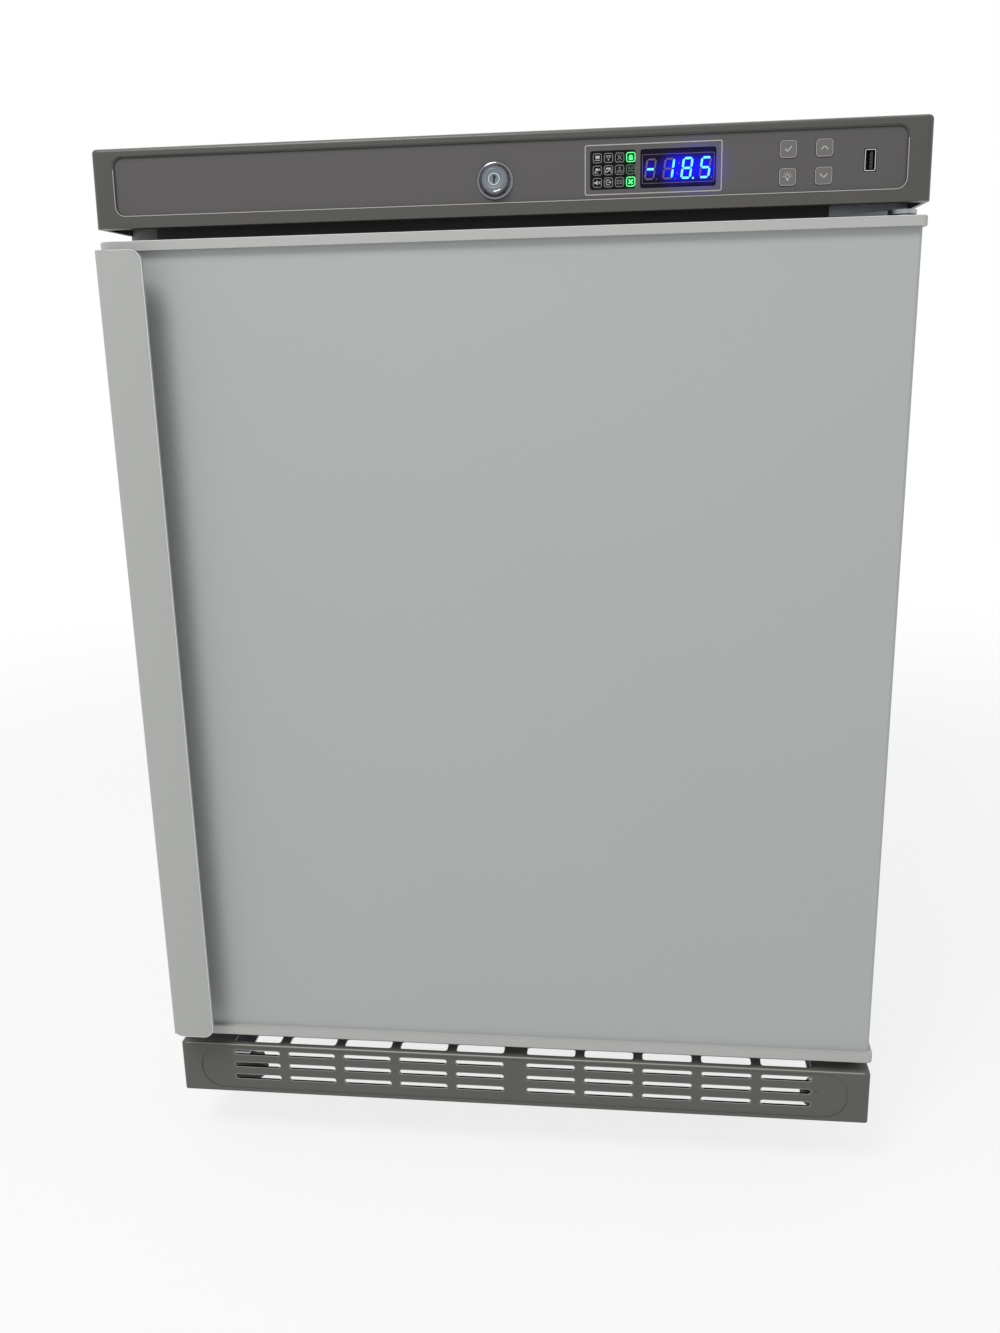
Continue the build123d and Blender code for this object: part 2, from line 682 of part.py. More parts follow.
# Control fascia: a moulded housing, open below, with a recess for the overlay
with BuildPart() as control_fascia:
    lean = tan(radians(FASCIA_TILT))
    front_low = FRONT_Y - FASCIA_PROUD
    wall_across = FASCIA_WALL / cos(radians(FASCIA_TILT))
    with BuildSketch(Plane.YZ):
        with BuildLine():
            Polyline(
                (front_low, FASCIA_BOTTOM),
                (front_low + lean * FASCIA_H, HEIGHT),
                (FACE_Y, HEIGHT),
                (FACE_Y, FASCIA_BOTTOM),
                close=True,
            )
        make_face()
    extrude(amount=WIDTH / 2, both=True)
    upright = control_fascia.edges().filter_by(lambda edge: abs(edge.tangent_at(0.5).Z) > 0.9)
    fillet(upright.group_by(Axis.Y)[0], FASCIA_SIDE_R)
    top_edges = control_fascia.faces().sort_by(Axis.Z)[-1].edges()
    fillet(top_edges.sort_by(Axis.Y)[:-1], FASCIA_TOP_R)
    with BuildSketch(Plane.YZ):
        with BuildLine():
            Polyline(
                (front_low + wall_across, FASCIA_BOTTOM),
                (front_low + wall_across + lean * (FASCIA_H - FASCIA_WALL), HEIGHT - FASCIA_WALL),
                (FACE_Y, HEIGHT - FASCIA_WALL),
                (FACE_Y, FASCIA_BOTTOM),
                close=True,
            )
        make_face()
    extrude(amount=WIDTH / 2 - FASCIA_WALL, both=True, mode=Mode.SUBTRACT)
    inner_half = WIDTH / 2 - FASCIA_WALL
    lip_back = front_low + wall_across + FASCIA_LIP
    block(
        (-inner_half, front_low + FASCIA_WALL, FASCIA_BOTTOM),
        (inner_half, lip_back, FASCIA_BOTTOM + FASCIA_LIP_T),
    )
    for rib in RIB_ENDS:
        with BuildSketch(Plane.YZ.offset(rib - WIDTH / 2)):
            with BuildLine():
                Polyline(
                    (front_low + FASCIA_WALL, FASCIA_BOTTOM + FASCIA_LIP_T),
                    (front_low + FASCIA_WALL, HEIGHT - FASCIA_WALL),
                    (FACE_Y - FASCIA_LIP, HEIGHT - FASCIA_WALL),
                    (lip_back, FASCIA_BOTTOM + FASCIA_LIP_T),
                    close=True,
                )
            make_face()
        extrude(amount=RIB_T / 2, both=True)
    with BuildSketch(FASCIA_FACE.offset(-FASCIA_WALL)):
        with Locations((0, RECESS_MID)):
            RectangleRounded(RECESS_W + FASCIA_WALL, RECESS_H + FASCIA_WALL, RECESS_R)
    extrude(amount=FASCIA_WALL - FLOOR_BACK)
    with BuildSketch(FASCIA_FACE):
        with Locations((0, RECESS_MID)):
            RectangleRounded(RECESS_W, RECESS_H, RECESS_R)
    extrude(amount=-RECESS_DEPTH, mode=Mode.SUBTRACT)
    rim = [
        edge
        for edge in control_fascia.edges()
        if abs(FASCIA_FACE.to_local_coords(edge.center()).Z) < 0.01
        and abs(FASCIA_FACE.to_local_coords(edge.center()).Y - RECESS_MID) < RECESS_H / 2 + 0.1
        and abs(edge.center().X) < RECESS_W / 2 + 0.1
    ]
    chamfer(rim, RECESS_BEVEL)
    with BuildSketch(FASCIA_FACE):
        fascia_openings()
    extrude(amount=-2 * FLOOR_BACK, mode=Mode.SUBTRACT)
    with BuildSketch(FASCIA_FACE.offset(-FLOOR_BACK)):
        with Locations(*board_bosses()):
            Circle(BOSS_R)
    extrude(amount=-BOARD_GAP)
control_fascia.part.label = "control_fascia"
export_step(control_fascia.part, "parts/control_fascia.step")

with BuildPart() as fascia_overlay:
    with BuildSketch(FASCIA_FACE.offset(-RECESS_DEPTH)):
        with Locations((0, RECESS_MID)):
            RectangleRounded(RECESS_W - 2 * FIT_GAP, RECESS_H - 2 * FIT_GAP, RECESS_R - FIT_GAP)
    extrude(amount=OVERLAY_T)
    with BuildSketch(FASCIA_FACE):
        fascia_openings()
    extrude(amount=-FLOOR_BACK, mode=Mode.SUBTRACT)
fascia_overlay.part.label = "fascia_overlay"
export_step(fascia_overlay.part, "parts/fascia_overlay.step")

with BuildPart() as icon_window:
    with BuildSketch(FASCIA_FACE.offset(-OVERLAY_TOP)):
        window_outline(ICON_WINDOW, 0)
    extrude(amount=OVERLAY_TOP - FLOOR_BACK)
icon_window.part.label = "icon_window"
export_step(icon_window.part, "parts/icon_window.step")

with BuildPart() as digit_window:
    with BuildSketch(FASCIA_FACE.offset(-OVERLAY_TOP)):
        window_outline(DIGIT_WINDOW, 0)
    extrude(amount=OVERLAY_TOP - FLOOR_BACK)
digit_window.part.label = "digit_window"
export_step(digit_window.part, "parts/digit_window.step")

with BuildPart() as control_board:
    board_middle = (sum(BOARD_SPAN) / 2, RECESS_MID)
    with BuildSketch(FASCIA_FACE.offset(-BOARD_FRONT)):
        with Locations(board_middle):
            Rectangle(BOARD_SPAN[1] - BOARD_SPAN[0], BOARD_H)
    extrude(amount=-BOARD_T)
    with BuildSketch(FASCIA_FACE.offset(-BOARD_FRONT)):
        for across, up, width, height in (ICON_WINDOW, DIGIT_WINDOW):
            with Locations((across, up)):
                Rectangle(width, height)
    extrude(amount=BOARD_GAP)
    with BuildSketch(FASCIA_FACE.offset(-BOARD_FRONT)):
        with Locations(*KEYS.values()):
            Rectangle(SWITCH_SIZE, SWITCH_SIZE)
    extrude(amount=SWITCH_H)
    with BuildSketch(FASCIA_FACE.offset(-BOARD_FRONT + SWITCH_H)):
        with Locations(*KEYS.values()):
            Circle(PLUNGER_R)
    extrude(amount=PLUNGER_H)
control_board.part.label = "control_board"
export_step(control_board.part, "parts/control_board.step")

with BuildPart() as usb_port:
    with BuildSketch(FASCIA_FACE.offset(-BOARD_FRONT)):
        with Locations(USB_PLACE):
            Rectangle(USB_W, USB_H)
    extrude(amount=BOARD_FRONT - OVERLAY_TOP)
    with BuildSketch(FASCIA_FACE.offset(-OVERLAY_TOP)):
        with Locations(USB_PLACE):
            Rectangle(USB_W - 2 * USB_SHELL, USB_H - 2 * USB_SHELL)
    extrude(amount=OVERLAY_TOP - BOARD_FRONT + USB_SHELL, mode=Mode.SUBTRACT)
    with BuildSketch(FASCIA_FACE.offset(-BOARD_FRONT + USB_SHELL)):
        with Locations((USB_PLACE[0] + TONGUE_T / 2, USB_PLACE[1])):
            Rectangle(TONGUE_T, USB_H - 4 * USB_SHELL)
    extrude(amount=BOARD_FRONT - OVERLAY_TOP - 2 * USB_SHELL)
usb_port.part.label = "usb_port"
export_step(usb_port.part, "parts/usb_port.step")

# Lock
lock_face = FASCIA_FACE.offset(-OVERLAY_TOP)
lock_plane = Plane(
    origin=lock_face.from_local_coords((LOCK_PLACE[0], LOCK_PLACE[1], 0)),
    x_dir=(1, 0, 0),
    z_dir=FASCIA_FACE.z_dir,
)
lock_section = Plane(origin=lock_plane.origin, x_dir=lock_plane.x_dir, z_dir=-lock_plane.y_dir)
nut_depth = FLOOR_BACK - OVERLAY_TOP
cam_depth = LOCK_BODY_LENGTH + SLIDE_GAP

with BuildPart() as lock_housing:
    face_seat = LOCK_NOSE_H - PLUG_FACE_T - SLIDE_GAP
    with BuildSketch(lock_section):
        with BuildLine():
            Polyline(
                (PLUG_R + SHAFT_GAP, -LOCK_BODY_LENGTH),
                (LOCK_BODY_R, -LOCK_BODY_LENGTH),
                (LOCK_BODY_R, 0),
                (LOCK_FLANGE_R, 0),
                (LOCK_FLANGE_R, LOCK_FLANGE_T),
                (LOCK_NOSE_R, LOCK_NOSE_H),
                (PLUG_FACE_R + SLIDE_GAP, LOCK_NOSE_H),
                (PLUG_FACE_R + SLIDE_GAP, face_seat),
                (PLUG_R + SHAFT_GAP, face_seat),
                close=True,
            )
        make_face()
    revolve(axis=Axis(lock_plane.origin, lock_plane.z_dir))
lock_housing.part.label = "lock_housing"
export_step(lock_housing.part, "parts/lock_housing.step")

with BuildPart() as lock_nut:
    with BuildSketch(lock_plane.offset(-nut_depth)):
        RegularPolygon(LOCK_NUT_ACROSS / 2, 6, major_radius=False)
        Circle(LOCK_BODY_R, mode=Mode.SUBTRACT)
    extrude(amount=-LOCK_NUT_T)
lock_nut.part.label = "lock_nut"
export_step(lock_nut.part, "parts/lock_nut.step")

with BuildPart() as lock_cylinder:
    with BuildSketch(lock_plane.offset(LOCK_NOSE_H)):
        Circle(PLUG_FACE_R)
    extrude(amount=-PLUG_FACE_T)
    with BuildSketch(lock_plane.offset(LOCK_NOSE_H)):
        Circle(PLUG_R)
    extrude(amount=-LOCK_NOSE_H - cam_depth)
    with BuildSketch(lock_plane.offset(-cam_depth)):
        Rectangle(PLUG_R, PLUG_R)
    extrude(amount=-CAM_T - CAM_END)
    with BuildSketch(lock_plane.offset(LOCK_NOSE_H)):
        Circle(DIMPLE_R)
    extrude(amount=-DIMPLE_DEPTH, mode=Mode.SUBTRACT)
    with BuildSketch(lock_plane.offset(LOCK_NOSE_H)):
        Rectangle(KEYWAY[0], KEYWAY[1])
    extrude(amount=-KEYWAY[2], mode=Mode.SUBTRACT)
lock_cylinder.part.label = "lock_cylinder"
export_step(lock_cylinder.part, "parts/lock_cylinder.step")

with BuildPart() as lock_cam:
    with BuildSketch(lock_plane.offset(-cam_depth)):
        with Locations((-CAM_REACH / 2, 0)):
            SlotCenterToCenter(CAM_REACH, CAM_W)
        Rectangle(PLUG_R, PLUG_R, mode=Mode.SUBTRACT)
    extrude(amount=-CAM_T)
lock_cam.part.label = "lock_cam"
export_step(lock_cam.part, "parts/lock_cam.step")

for name, place in KEYS.items():
    key = push_key(place)
    key.label = f"button_{name}"
    export_step(key, f"parts/button_{name}.step")

# Strike pocket in the door's top cap: as long as the cam's sweep at the cap's top
cam_tip = CAM_REACH + CAM_W / 2
cam_height = lock_plane.offset(-cam_depth - CAM_T / 2).origin.Z - DOOR_TOP
cam_sweep = (cam_tip**2 - cam_height**2) ** 0.5
cam_y = lock_plane.offset(-cam_depth - CAM_T / 2).origin.Y - cam_height * sin(radians(FASCIA_TILT))
strike_x = (LOCK_PLACE[0] - cam_sweep - STRIKE_MARGIN, LOCK_PLACE[0] + CAM_W / 2 + STRIKE_MARGIN)
strike_y = (cam_y - STRIKE_SLOT / 2, cam_y + STRIKE_SLOT / 2)


def strike_block(wall, depth, mode):
    """The strike pocket's slot, grown by a wall sideways and down."""
    block(
        (strike_x[0] - wall, strike_y[0] - wall, DOOR_TOP - depth - wall),
        (strike_x[1] + wall, strike_y[1] + wall, DOOR_TOP),
        mode=mode,
    )


def bush_barrels():
    """The outsides of the two hinge bushes, set into the ends of the door."""
    with BuildPart() as barrels:
        for low in (DOOR_TOP - BUSH_LENGTH, DOOR_BOTTOM):
            with BuildSketch(Plane.XY.offset(low)):
                with Locations((HINGE_X, HINGE_Y)):
                    Circle(PIN_R + SHAFT_GAP + BUSH_WALL)
            extrude(amount=BUSH_LENGTH)
    return barrels.part


def handle_screw_places():
    """The screws along the handle, as places on the door skin."""
    span = SKIN_TOP - SKIN_BOTTOM - 2 * HANDLE_SCREW_END
    step = span / (HANDLE_SCREWS - 1)
    x = (HANDLE_FOOT + HANDLE_WALL) / 2 - HANDLE_LEFT
    return [(x, SKIN_BOTTOM + HANDLE_SCREW_END + step * i) for i in range(HANDLE_SCREWS)]


def handle_screw_holes():
    """Clearance holes for the handle screws, through the handle's foot, the skin and into the foam."""
    with BuildPart() as holes:
        with BuildSketch(Plane.XZ.offset(-SKIN_Y + HANDLE_WALL)):
            with Locations(*handle_screw_places()):
                Circle(SCREW_R + SHAFT_GAP)
        extrude(amount=-SCREW_LENGTH)
    return holes.part


# Door leaf
with BuildPart() as door_skin:
    with BuildSketch(Plane.XY.offset(SKIN_BOTTOM)) as section:
        with Locations((0, SKIN_Y)):
            Rectangle(2 * SKIN_X, SKIN_BACK - SKIN_Y, align=(Align.CENTER, Align.MIN))
        fillet(section.vertices().group_by(Axis.Y)[0], SKIN_R)
        offset(amount=-SHEET, mode=Mode.SUBTRACT)
        with Locations((0, SKIN_BACK)):
            opening = 2 * (SKIN_X - SKIN_RETURN)
            Rectangle(opening, 2 * SHEET, align=(Align.CENTER, Align.MAX), mode=Mode.SUBTRACT)
    extrude(amount=SKIN_TOP - SKIN_BOTTOM)
    add(handle_screw_holes(), mode=Mode.SUBTRACT)
door_skin.part.label = "door_skin"
export_step(door_skin.part, "parts/door_skin.step")


def door_cap(low, high, outer_edge):
    """A moulded cap across the end of the door, its outer front edge rounded."""
    with BuildPart() as cap:
        block((-WIDTH / 2, FRONT_Y, low), (WIDTH / 2, DOOR_BACK, high))
        fillet(cap.edges().filter_by(Axis.Z), CAP_R)
        fillet(cap.faces().sort_by(Axis.Z)[outer_edge].edges(), CAP_EDGE_R)
        add(bush_barrels(), mode=Mode.SUBTRACT)
        strike_block(STRIKE_WALL, STRIKE_DEPTH, Mode.SUBTRACT)
    return cap.part


door_top_cap = door_cap(SKIN_TOP, DOOR_TOP, -1)
door_top_cap.label = "door_top_cap"
export_step(door_top_cap, "parts/door_top_cap.step")

door_bottom_cap = door_cap(DOOR_BOTTOM, SKIN_BOTTOM, 0)
door_bottom_cap.label = "door_bottom_cap"
export_step(door_bottom_cap, "parts/door_bottom_cap.step")

with BuildPart() as door_foam:
    block(
        (-SKIN_X + SHEET, SKIN_Y + SHEET, SKIN_BOTTOM),
        (SKIN_X - SHEET, SKIN_BACK - SHEET, SKIN_TOP),
    )
    fillet(door_foam.edges().filter_by(Axis.Z).group_by(Axis.Y)[0], SKIN_R - SHEET)
    block(
        (-SKIN_X + SKIN_RETURN, SKIN_BACK - SHEET, SKIN_BOTTOM),
        (SKIN_X - SKIN_RETURN, SKIN_BACK, SKIN_TOP),
    )
    add(bush_barrels(), mode=Mode.SUBTRACT)
    strike_block(STRIKE_WALL, STRIKE_DEPTH, Mode.SUBTRACT)
    add(handle_screw_holes(), mode=Mode.SUBTRACT)
door_foam.part.label = "door_foam"
export_step(door_foam.part, "parts/door_foam.step")

with BuildPart() as door_liner:
    liner_half = SKIN_X - DOOR_LINER_INSET
    block((-liner_half, SKIN_BACK, SKIN_BOTTOM), (liner_half, DOOR_BACK, SKIN_TOP))
    dam_x = LINER_X - LINER_T - DAM_INSET_X
    dam_low = LINER_BOTTOM + LINER_T + DAM_INSET_Z
    dam_high = LINER_TOP - LINER_T - DAM_INSET_Z
    with BuildSketch(Plane.XZ.offset(-DOOR_BACK)):
        with Locations((0, (dam_low + dam_high) / 2)):
            RectangleRounded(2 * dam_x, dam_high - dam_low, DAM_R)
            inner = (2 * (dam_x - DAM_T), dam_high - dam_low - 2 * DAM_T)
            RectangleRounded(inner[0], inner[1], DAM_R / 2, mode=Mode.SUBTRACT)
    extrude(amount=-DAM_H, taper=DAM_TAPER)
door_liner.part.label = "door_liner"
export_step(door_liner.part, "parts/door_liner.step")


def gasket_layer(start, thickness, width):
    """One layer of the gasket: a frame of a given width round its middle line."""
    middle = GASKET_BASE_W / 2
    half = WIDTH / 2 - GASKET_INSET_X - middle
    low = DOOR_BOTTOM + GASKET_INSET_Z + middle
    high = DOOR_TOP - GASKET_INSET_Z - middle
    with BuildPart() as layer:
        with BuildSketch(Plane.XZ.offset(-start)):
            with Locations((0, (low + high) / 2)):
                Rectangle(2 * half + width, high - low + width)
                Rectangle(2 * half - width, high - low - width, mode=Mode.SUBTRACT)
        extrude(amount=-thickness)
    return layer.part


with BuildPart() as door_gasket:
    gasket_t = FACE_Y - SEAL_GAP - DOOR_BACK
    add(gasket_layer(DOOR_BACK, GASKET_BASE_T, GASKET_BASE_W))
    add(gasket_layer(DOOR_BACK, gasket_t, GASKET_NECK_W))
    add(gasket_layer(DOOR_BACK + gasket_t - GASKET_HEAD_T, GASKET_HEAD_T, GASKET_HEAD_W))
door_gasket.part.label = "door_gasket"
export_step(door_gasket.part, "parts/door_gasket.step")

with BuildPart() as lock_strike:
    strike_block(STRIKE_WALL, STRIKE_DEPTH, Mode.ADD)
    strike_block(0, STRIKE_DEPTH, Mode.SUBTRACT)
lock_strike.part.label = "lock_strike"
export_step(lock_strike.part, "parts/lock_strike.step")

with BuildPart() as door_handle:
    with BuildSketch(Plane.XY.offset(SKIN_BOTTOM)) as section:
        crown_y = HANDLE_Y + HANDLE_CROWN
        inner_y = crown_y + HANDLE_WALL
        middle = -(HANDLE_LEFT + HANDLE_RIGHT) / 2
        with BuildLine():
            Polyline(
                (-HANDLE_RIGHT, crown_y),
                (-HANDLE_RIGHT, inner_y),
                (-HANDLE_LEFT + HANDLE_WALL, inner_y),
                (-HANDLE_LEFT + HANDLE_WALL, SKIN_Y - HANDLE_WALL),
                (-HANDLE_LEFT + HANDLE_FOOT, SKIN_Y - HANDLE_WALL),
                (-HANDLE_LEFT + HANDLE_FOOT, SKIN_Y),
                (-HANDLE_LEFT, SKIN_Y),
                (-HANDLE_LEFT, crown_y),
            )
            ThreePointArc((-HANDLE_LEFT, crown_y), (middle, HANDLE_Y), (-HANDLE_RIGHT, crown_y))
        make_face()
        fillet(section.vertices().sort_by_distance((-HANDLE_LEFT, crown_y))[0], HANDLE_CORNER_R)
        for corner_y in (crown_y, inner_y):
            free_edge = section.vertices().sort_by_distance((-HANDLE_RIGHT, corner_y))[0]
            fillet(free_edge, HANDLE_EDGE_R)
    extrude(amount=SKIN_TOP - SKIN_BOTTOM)
    add(handle_ends(), mode=Mode.INTERSECT)
    add(handle_screw_holes(), mode=Mode.SUBTRACT)
door_handle.part.label = "door_handle"
export_step(door_handle.part, "parts/door_handle.step")

with BuildPart() as handle_screws:
    with BuildSketch(Plane.XZ.offset(-SKIN_Y + HANDLE_WALL)):
        with Locations(*handle_screw_places()):
            Circle(SCREW_HEAD_R)
    extrude(amount=SCREW_HEAD_H)
    with BuildSketch(Plane.XZ.offset(-SKIN_Y + HANDLE_WALL)):
        with Locations(*handle_screw_places()):
            Circle(SCREW_R)
    extrude(amount=-SCREW_LENGTH)
handle_screws.part.label = "handle_screws"
export_step(handle_screws.part, "parts/handle_screws.step")

with BuildPart() as hinge_bushes:
    add(bush_barrels())
    for start, height in (
        (DOOR_TOP, TOP_BUSH_FLANGE),
        (BOTTOM_PLATE + SLIDE_GAP, DOOR_BOTTOM - BOTTOM_PLATE - SLIDE_GAP),
    ):
        with BuildSketch(Plane.XY.offset(start)):
            with Locations((HINGE_X, HINGE_Y)):
                Circle(BUSH_FLANGE_R)
        extrude(amount=height)
    with BuildSketch():
        with Locations((HINGE_X, HINGE_Y)):
            Circle(PIN_R + SHAFT_GAP)
    extrude(amount=HEIGHT, mode=Mode.SUBTRACT)
hinge_bushes.part.label = "hinge_bushes"
export_step(hinge_bushes.part, "parts/hinge_bushes.step")


# Hinge ironwork
def hinge_arm(leaf, low):
    """A hinge plate, from the cabinet face to a round nose round its pin."""
    with BuildPart() as arm:
        with BuildSketch(Plane.XY.offset(low)):
            with BuildLine():
                Polyline(
                    (leaf[0], FACE_Y),
                    (leaf[0], FACE_Y - HINGE_NOSE_R),
                    (HINGE_X - HINGE_NOSE_R, HINGE_Y),
                    (HINGE_X + HINGE_NOSE_R, HINGE_Y),
                    (leaf[1], FACE_Y - HINGE_NOSE_R),
                    (leaf[1], FACE_Y),
                    close=True,
                )
            make_face()
            with Locations((HINGE_X, HINGE_Y)):
                Circle(HINGE_NOSE_R)
                Circle(PIN_R, mode=Mode.SUBTRACT)
        extrude(amount=HINGE_T)
    return arm.part


top_row = TOP_PLATE + TOP_LEAF_H - SCREW_EDGE
top_screws = [
    (TOP_LEAF[0] + SCREW_EDGE, top_row),
    (TOP_LEAF[0] + SCREW_EDGE + SCREW_SPACING, top_row - SCREW_SPACING),
    (TOP_LEAF[0] + SCREW_EDGE + 2 * SCREW_SPACING, top_row),
]
bottom_middle = (BOTTOM_LEAF[0] + BOTTOM_LEAF[1]) / 2
bottom_row = BOTTOM_PLATE - BOTTOM_LEAF_H + SCREW_EDGE
bottom_screws = [(bottom_middle, bottom_row), (bottom_middle, bottom_row + SCREW_SPACING)]

with BuildPart() as top_hinge:
    add(hinge_arm(TOP_LEAF, TOP_PLATE))
    block(
        (TOP_LEAF[0], FACE_Y - HINGE_T, TOP_PLATE),
        (TOP_LEAF[1], FACE_Y, TOP_PLATE + TOP_LEAF_H),
    )
    with BuildSketch(Plane.XZ.offset(-FACE_Y)):
        with Locations(*top_screws):
            Circle(SCREW_R)
    extrude(amount=HINGE_T, mode=Mode.SUBTRACT)
top_hinge.part.label = "top_hinge"
export_step(top_hinge.part, "parts/top_hinge.step")

with BuildPart() as bottom_hinge:
    add(hinge_arm(BOTTOM_LEAF, BOTTOM_PLATE - HINGE_T))
    block(
        (BOTTOM_LEAF[0], FACE_Y - HINGE_T, BOTTOM_PLATE - BOTTOM_LEAF_H),
        (BOTTOM_LEAF[1], FACE_Y, BOTTOM_PLATE),
    )
    with BuildSketch(Plane.XZ.offset(-FACE_Y)):
        with Locations(*bottom_screws):
            Circle(SCREW_R)
    extrude(amount=HINGE_T, mode=Mode.SUBTRACT)
bottom_hinge.part.label = "bottom_hinge"
export_step(bottom_hinge.part, "parts/bottom_hinge.step")

with BuildPart() as hinge_pins:
    for low, high in (
        (TOP_PLATE - PIN_REACH, TOP_PLATE + HINGE_T),
        (BOTTOM_PLATE - HINGE_T, BOTTOM_PLATE + PIN_REACH),
    ):
        with BuildSketch(Plane.XY.offset(low)):
            with Locations((HINGE_X, HINGE_Y)):
                Circle(PIN_R)
        extrude(amount=high - low)
hinge_pins.part.label = "hinge_pins"
export_step(hinge_pins.part, "parts/hinge_pins.step")

with BuildPart() as hinge_screws:
    with BuildSketch(Plane.XZ.offset(-FACE_Y + HINGE_T)):
        with Locations(*top_screws, *bottom_screws):
            Circle(SCREW_HEAD_R)
    extrude(amount=SCREW_HEAD_H)
    with BuildSketch(Plane.XZ.offset(-FACE_Y + HINGE_T)):
        with Locations(*top_screws, *bottom_screws):
            Circle(SCREW_R)
    extrude(amount=-HINGE_T)
hinge_screws.part.label = "hinge_screws"
export_step(hinge_screws.part, "parts/hinge_screws.step")

# Kick grille: a moulded cover with slots in its face and its ledge
with BuildPart() as kick_grille:
    grille_y = FRONT_Y + GRILLE_SET_BACK
    inside = WIDTH / 2 - GRILLE_T
    block((-WIDTH / 2, grille_y, FLOOR_GAP), (WIDTH / 2, FACE_Y, GRILLE_TOP))
    fillet(kick_grille.edges().filter_by(Axis.Z).group_by(Axis.Y)[0], GRILLE_CORNER_R)
    fillet(kick_grille.faces().sort_by(Axis.Z)[-1].edges().sort_by(Axis.Y)[:-1], GRILLE_EDGE_R)
    block(
        (-inside, grille_y + GRILLE_T, FLOOR_GAP),
        (inside, FACE_Y, GRILLE_TOP - GRILLE_T),
        mode=Mode.SUBTRACT,
    )
    block((-inside, grille_y + GRILLE_LEDGE, FLOOR_GAP), (inside, FACE_Y, GRILLE_TOP), mode=Mode.SUBTRACT)
    block(
        (-inside, grille_y + GRILLE_LEDGE - GRILLE_T, GRILLE_TOP - GRILLE_LIP),
        (inside, grille_y + GRILLE_LEDGE, GRILLE_TOP),
    )
    block((-inside, grille_y, FLOOR_GAP), (inside, grille_y + GRILLE_LIP, FLOOR_GAP + GRILLE_T))
    with BuildSketch(Plane.XZ.offset(-grille_y)):
        with Locations((0, FLOOR_GAP + PANEL_MID)):
            RectangleRounded(PANEL_W, PANEL_H, PANEL_R)
    extrude(amount=-PANEL_STEP, mode=Mode.SUBTRACT)
    rows = [FLOOR_GAP + SLOT_MID + SLOT_PITCH_Z * (row - (SLOT_ROWS - 1) / 2) for row in range(SLOT_ROWS)]
    with BuildSketch(Plane.XZ.offset(-grille_y)):
        with Locations(*[(x, z) for x in slot_columns() for z in rows]):
            SlotOverall(SLOT_LENGTH, SLOT_H)
        for gap in (2, SLOTS_PER_SIDE):
            dot_x = FIRST_SLOT + SLOT_PITCH_X * (gap - 0.5)
            with Locations((-dot_x, FLOOR_GAP + SLOT_MID), (dot_x, FLOOR_GAP + SLOT_MID)):
                Circle(VENT_DOT_R)
    extrude(amount=-GRILLE_T, mode=Mode.SUBTRACT)
    with BuildSketch(Plane.XY.offset(GRILLE_TOP)):
        with Locations(*[(x, grille_y + LEDGE_SLOT_FRONT + LEDGE_SLOT_D / 2) for x in slot_columns()]):
            RectangleRounded(SLOT_LENGTH, LEDGE_SLOT_D, LEDGE_SLOT_R)
    extrude(amount=-GRILLE_T, mode=Mode.SUBTRACT)
kick_grille.part.label = "kick_grille"
export_step(kick_grille.part, "parts/kick_grille.step")

# Steel base
with BuildPart() as base_frame:
    rail_front = FACE_Y + FRAME_T
    rail_rear = BODY_REAR_Y - SHEET
    for side in (-1, 1):
        with BuildSketch(Plane.XZ.offset(-rail_front)):
            with Locations((side * FOAM_X, FLOOR_GAP)):
                align_x = Align.MIN if side < 0 else Align.MAX
                Rectangle(RAIL_T, PAN_BOTTOM - FLOOR_GAP, align=(align_x, Align.MIN))
                Rectangle(RAIL_W, RAIL_T, align=(align_x, Align.MIN))
            with Locations((side * FOAM_X, PAN_BOTTOM)):
                Rectangle(RAIL_W, RAIL_T, align=(align_x, Align.MAX))
        extrude(amount=rail_front - rail_rear)
    rail_inner = FOAM_X - RAIL_W
    for cross_y in (rail_front, BAY_Y - SHEET - CROSS_D):
        block((-rail_inner, cross_y, PAN_BOTTOM - RAIL_T), (rail_inner, cross_y + CROSS_D, PAN_BOTTOM))
        block((-rail_inner, cross_y, PAN_BOTTOM - CROSS_D), (rail_inner, cross_y + RAIL_T, PAN_BOTTOM))
    with BuildSketch(Plane.XY.offset(FLOOR_GAP)):
        with Locations(*foot_places().values()):
            Circle(STUD_R + SLIDE_GAP)
    extrude(amount=RAIL_T, mode=Mode.SUBTRACT)
base_frame.part.label = "base_frame"
export_step(base_frame.part, "parts/base_frame.step")

with BuildPart() as foot_nuts:
    with BuildSketch(Plane.XY.offset(FLOOR_GAP + RAIL_T)):
        with Locations(*foot_places().values()):
            RegularPolygon(NUT_ACROSS / 2, 6, major_radius=False)
            Circle(STUD_R, mode=Mode.SUBTRACT)
    extrude(amount=NUT_H)
foot_nuts.part.label = "foot_nuts"
export_step(foot_nuts.part, "parts/foot_nuts.step")

for name, place in foot_places().items():
    foot = levelling_foot(*place)
    foot.label = f"foot_{name}"
    export_step(foot, f"parts/foot_{name}.step")

# Machine bay
tray_front = BAY_Y + SHEET
tray_rear = BODY_REAR_Y - SHEET

with BuildPart() as compressor_tray:
    block((-TRAY_HALF, tray_front, TRAY_TOP - TRAY_T), (TRAY_HALF, tray_rear, TRAY_TOP))
    block((-TRAY_HALF, tray_rear - TRAY_T, TRAY_TOP), (TRAY_HALF, tray_rear, TRAY_TOP + TRAY_FLANGE))
    block((-TRAY_HALF, tray_front, TRAY_TOP), (TRAY_HALF, tray_front + TRAY_T, TRAY_TOP + TRAY_FLANGE))
    with BuildSketch(Plane.XZ.offset(-tray_rear)):
        with Locations((GLAND_X, TRAY_TOP + TRAY_FLANGE / 2)):
            Circle(GLAND_NUT_R)
    extrude(amount=TRAY_T, mode=Mode.SUBTRACT)
compressor_tray.part.label = "compressor_tray"
export_step(compressor_tray.part, "parts/compressor_tray.step")

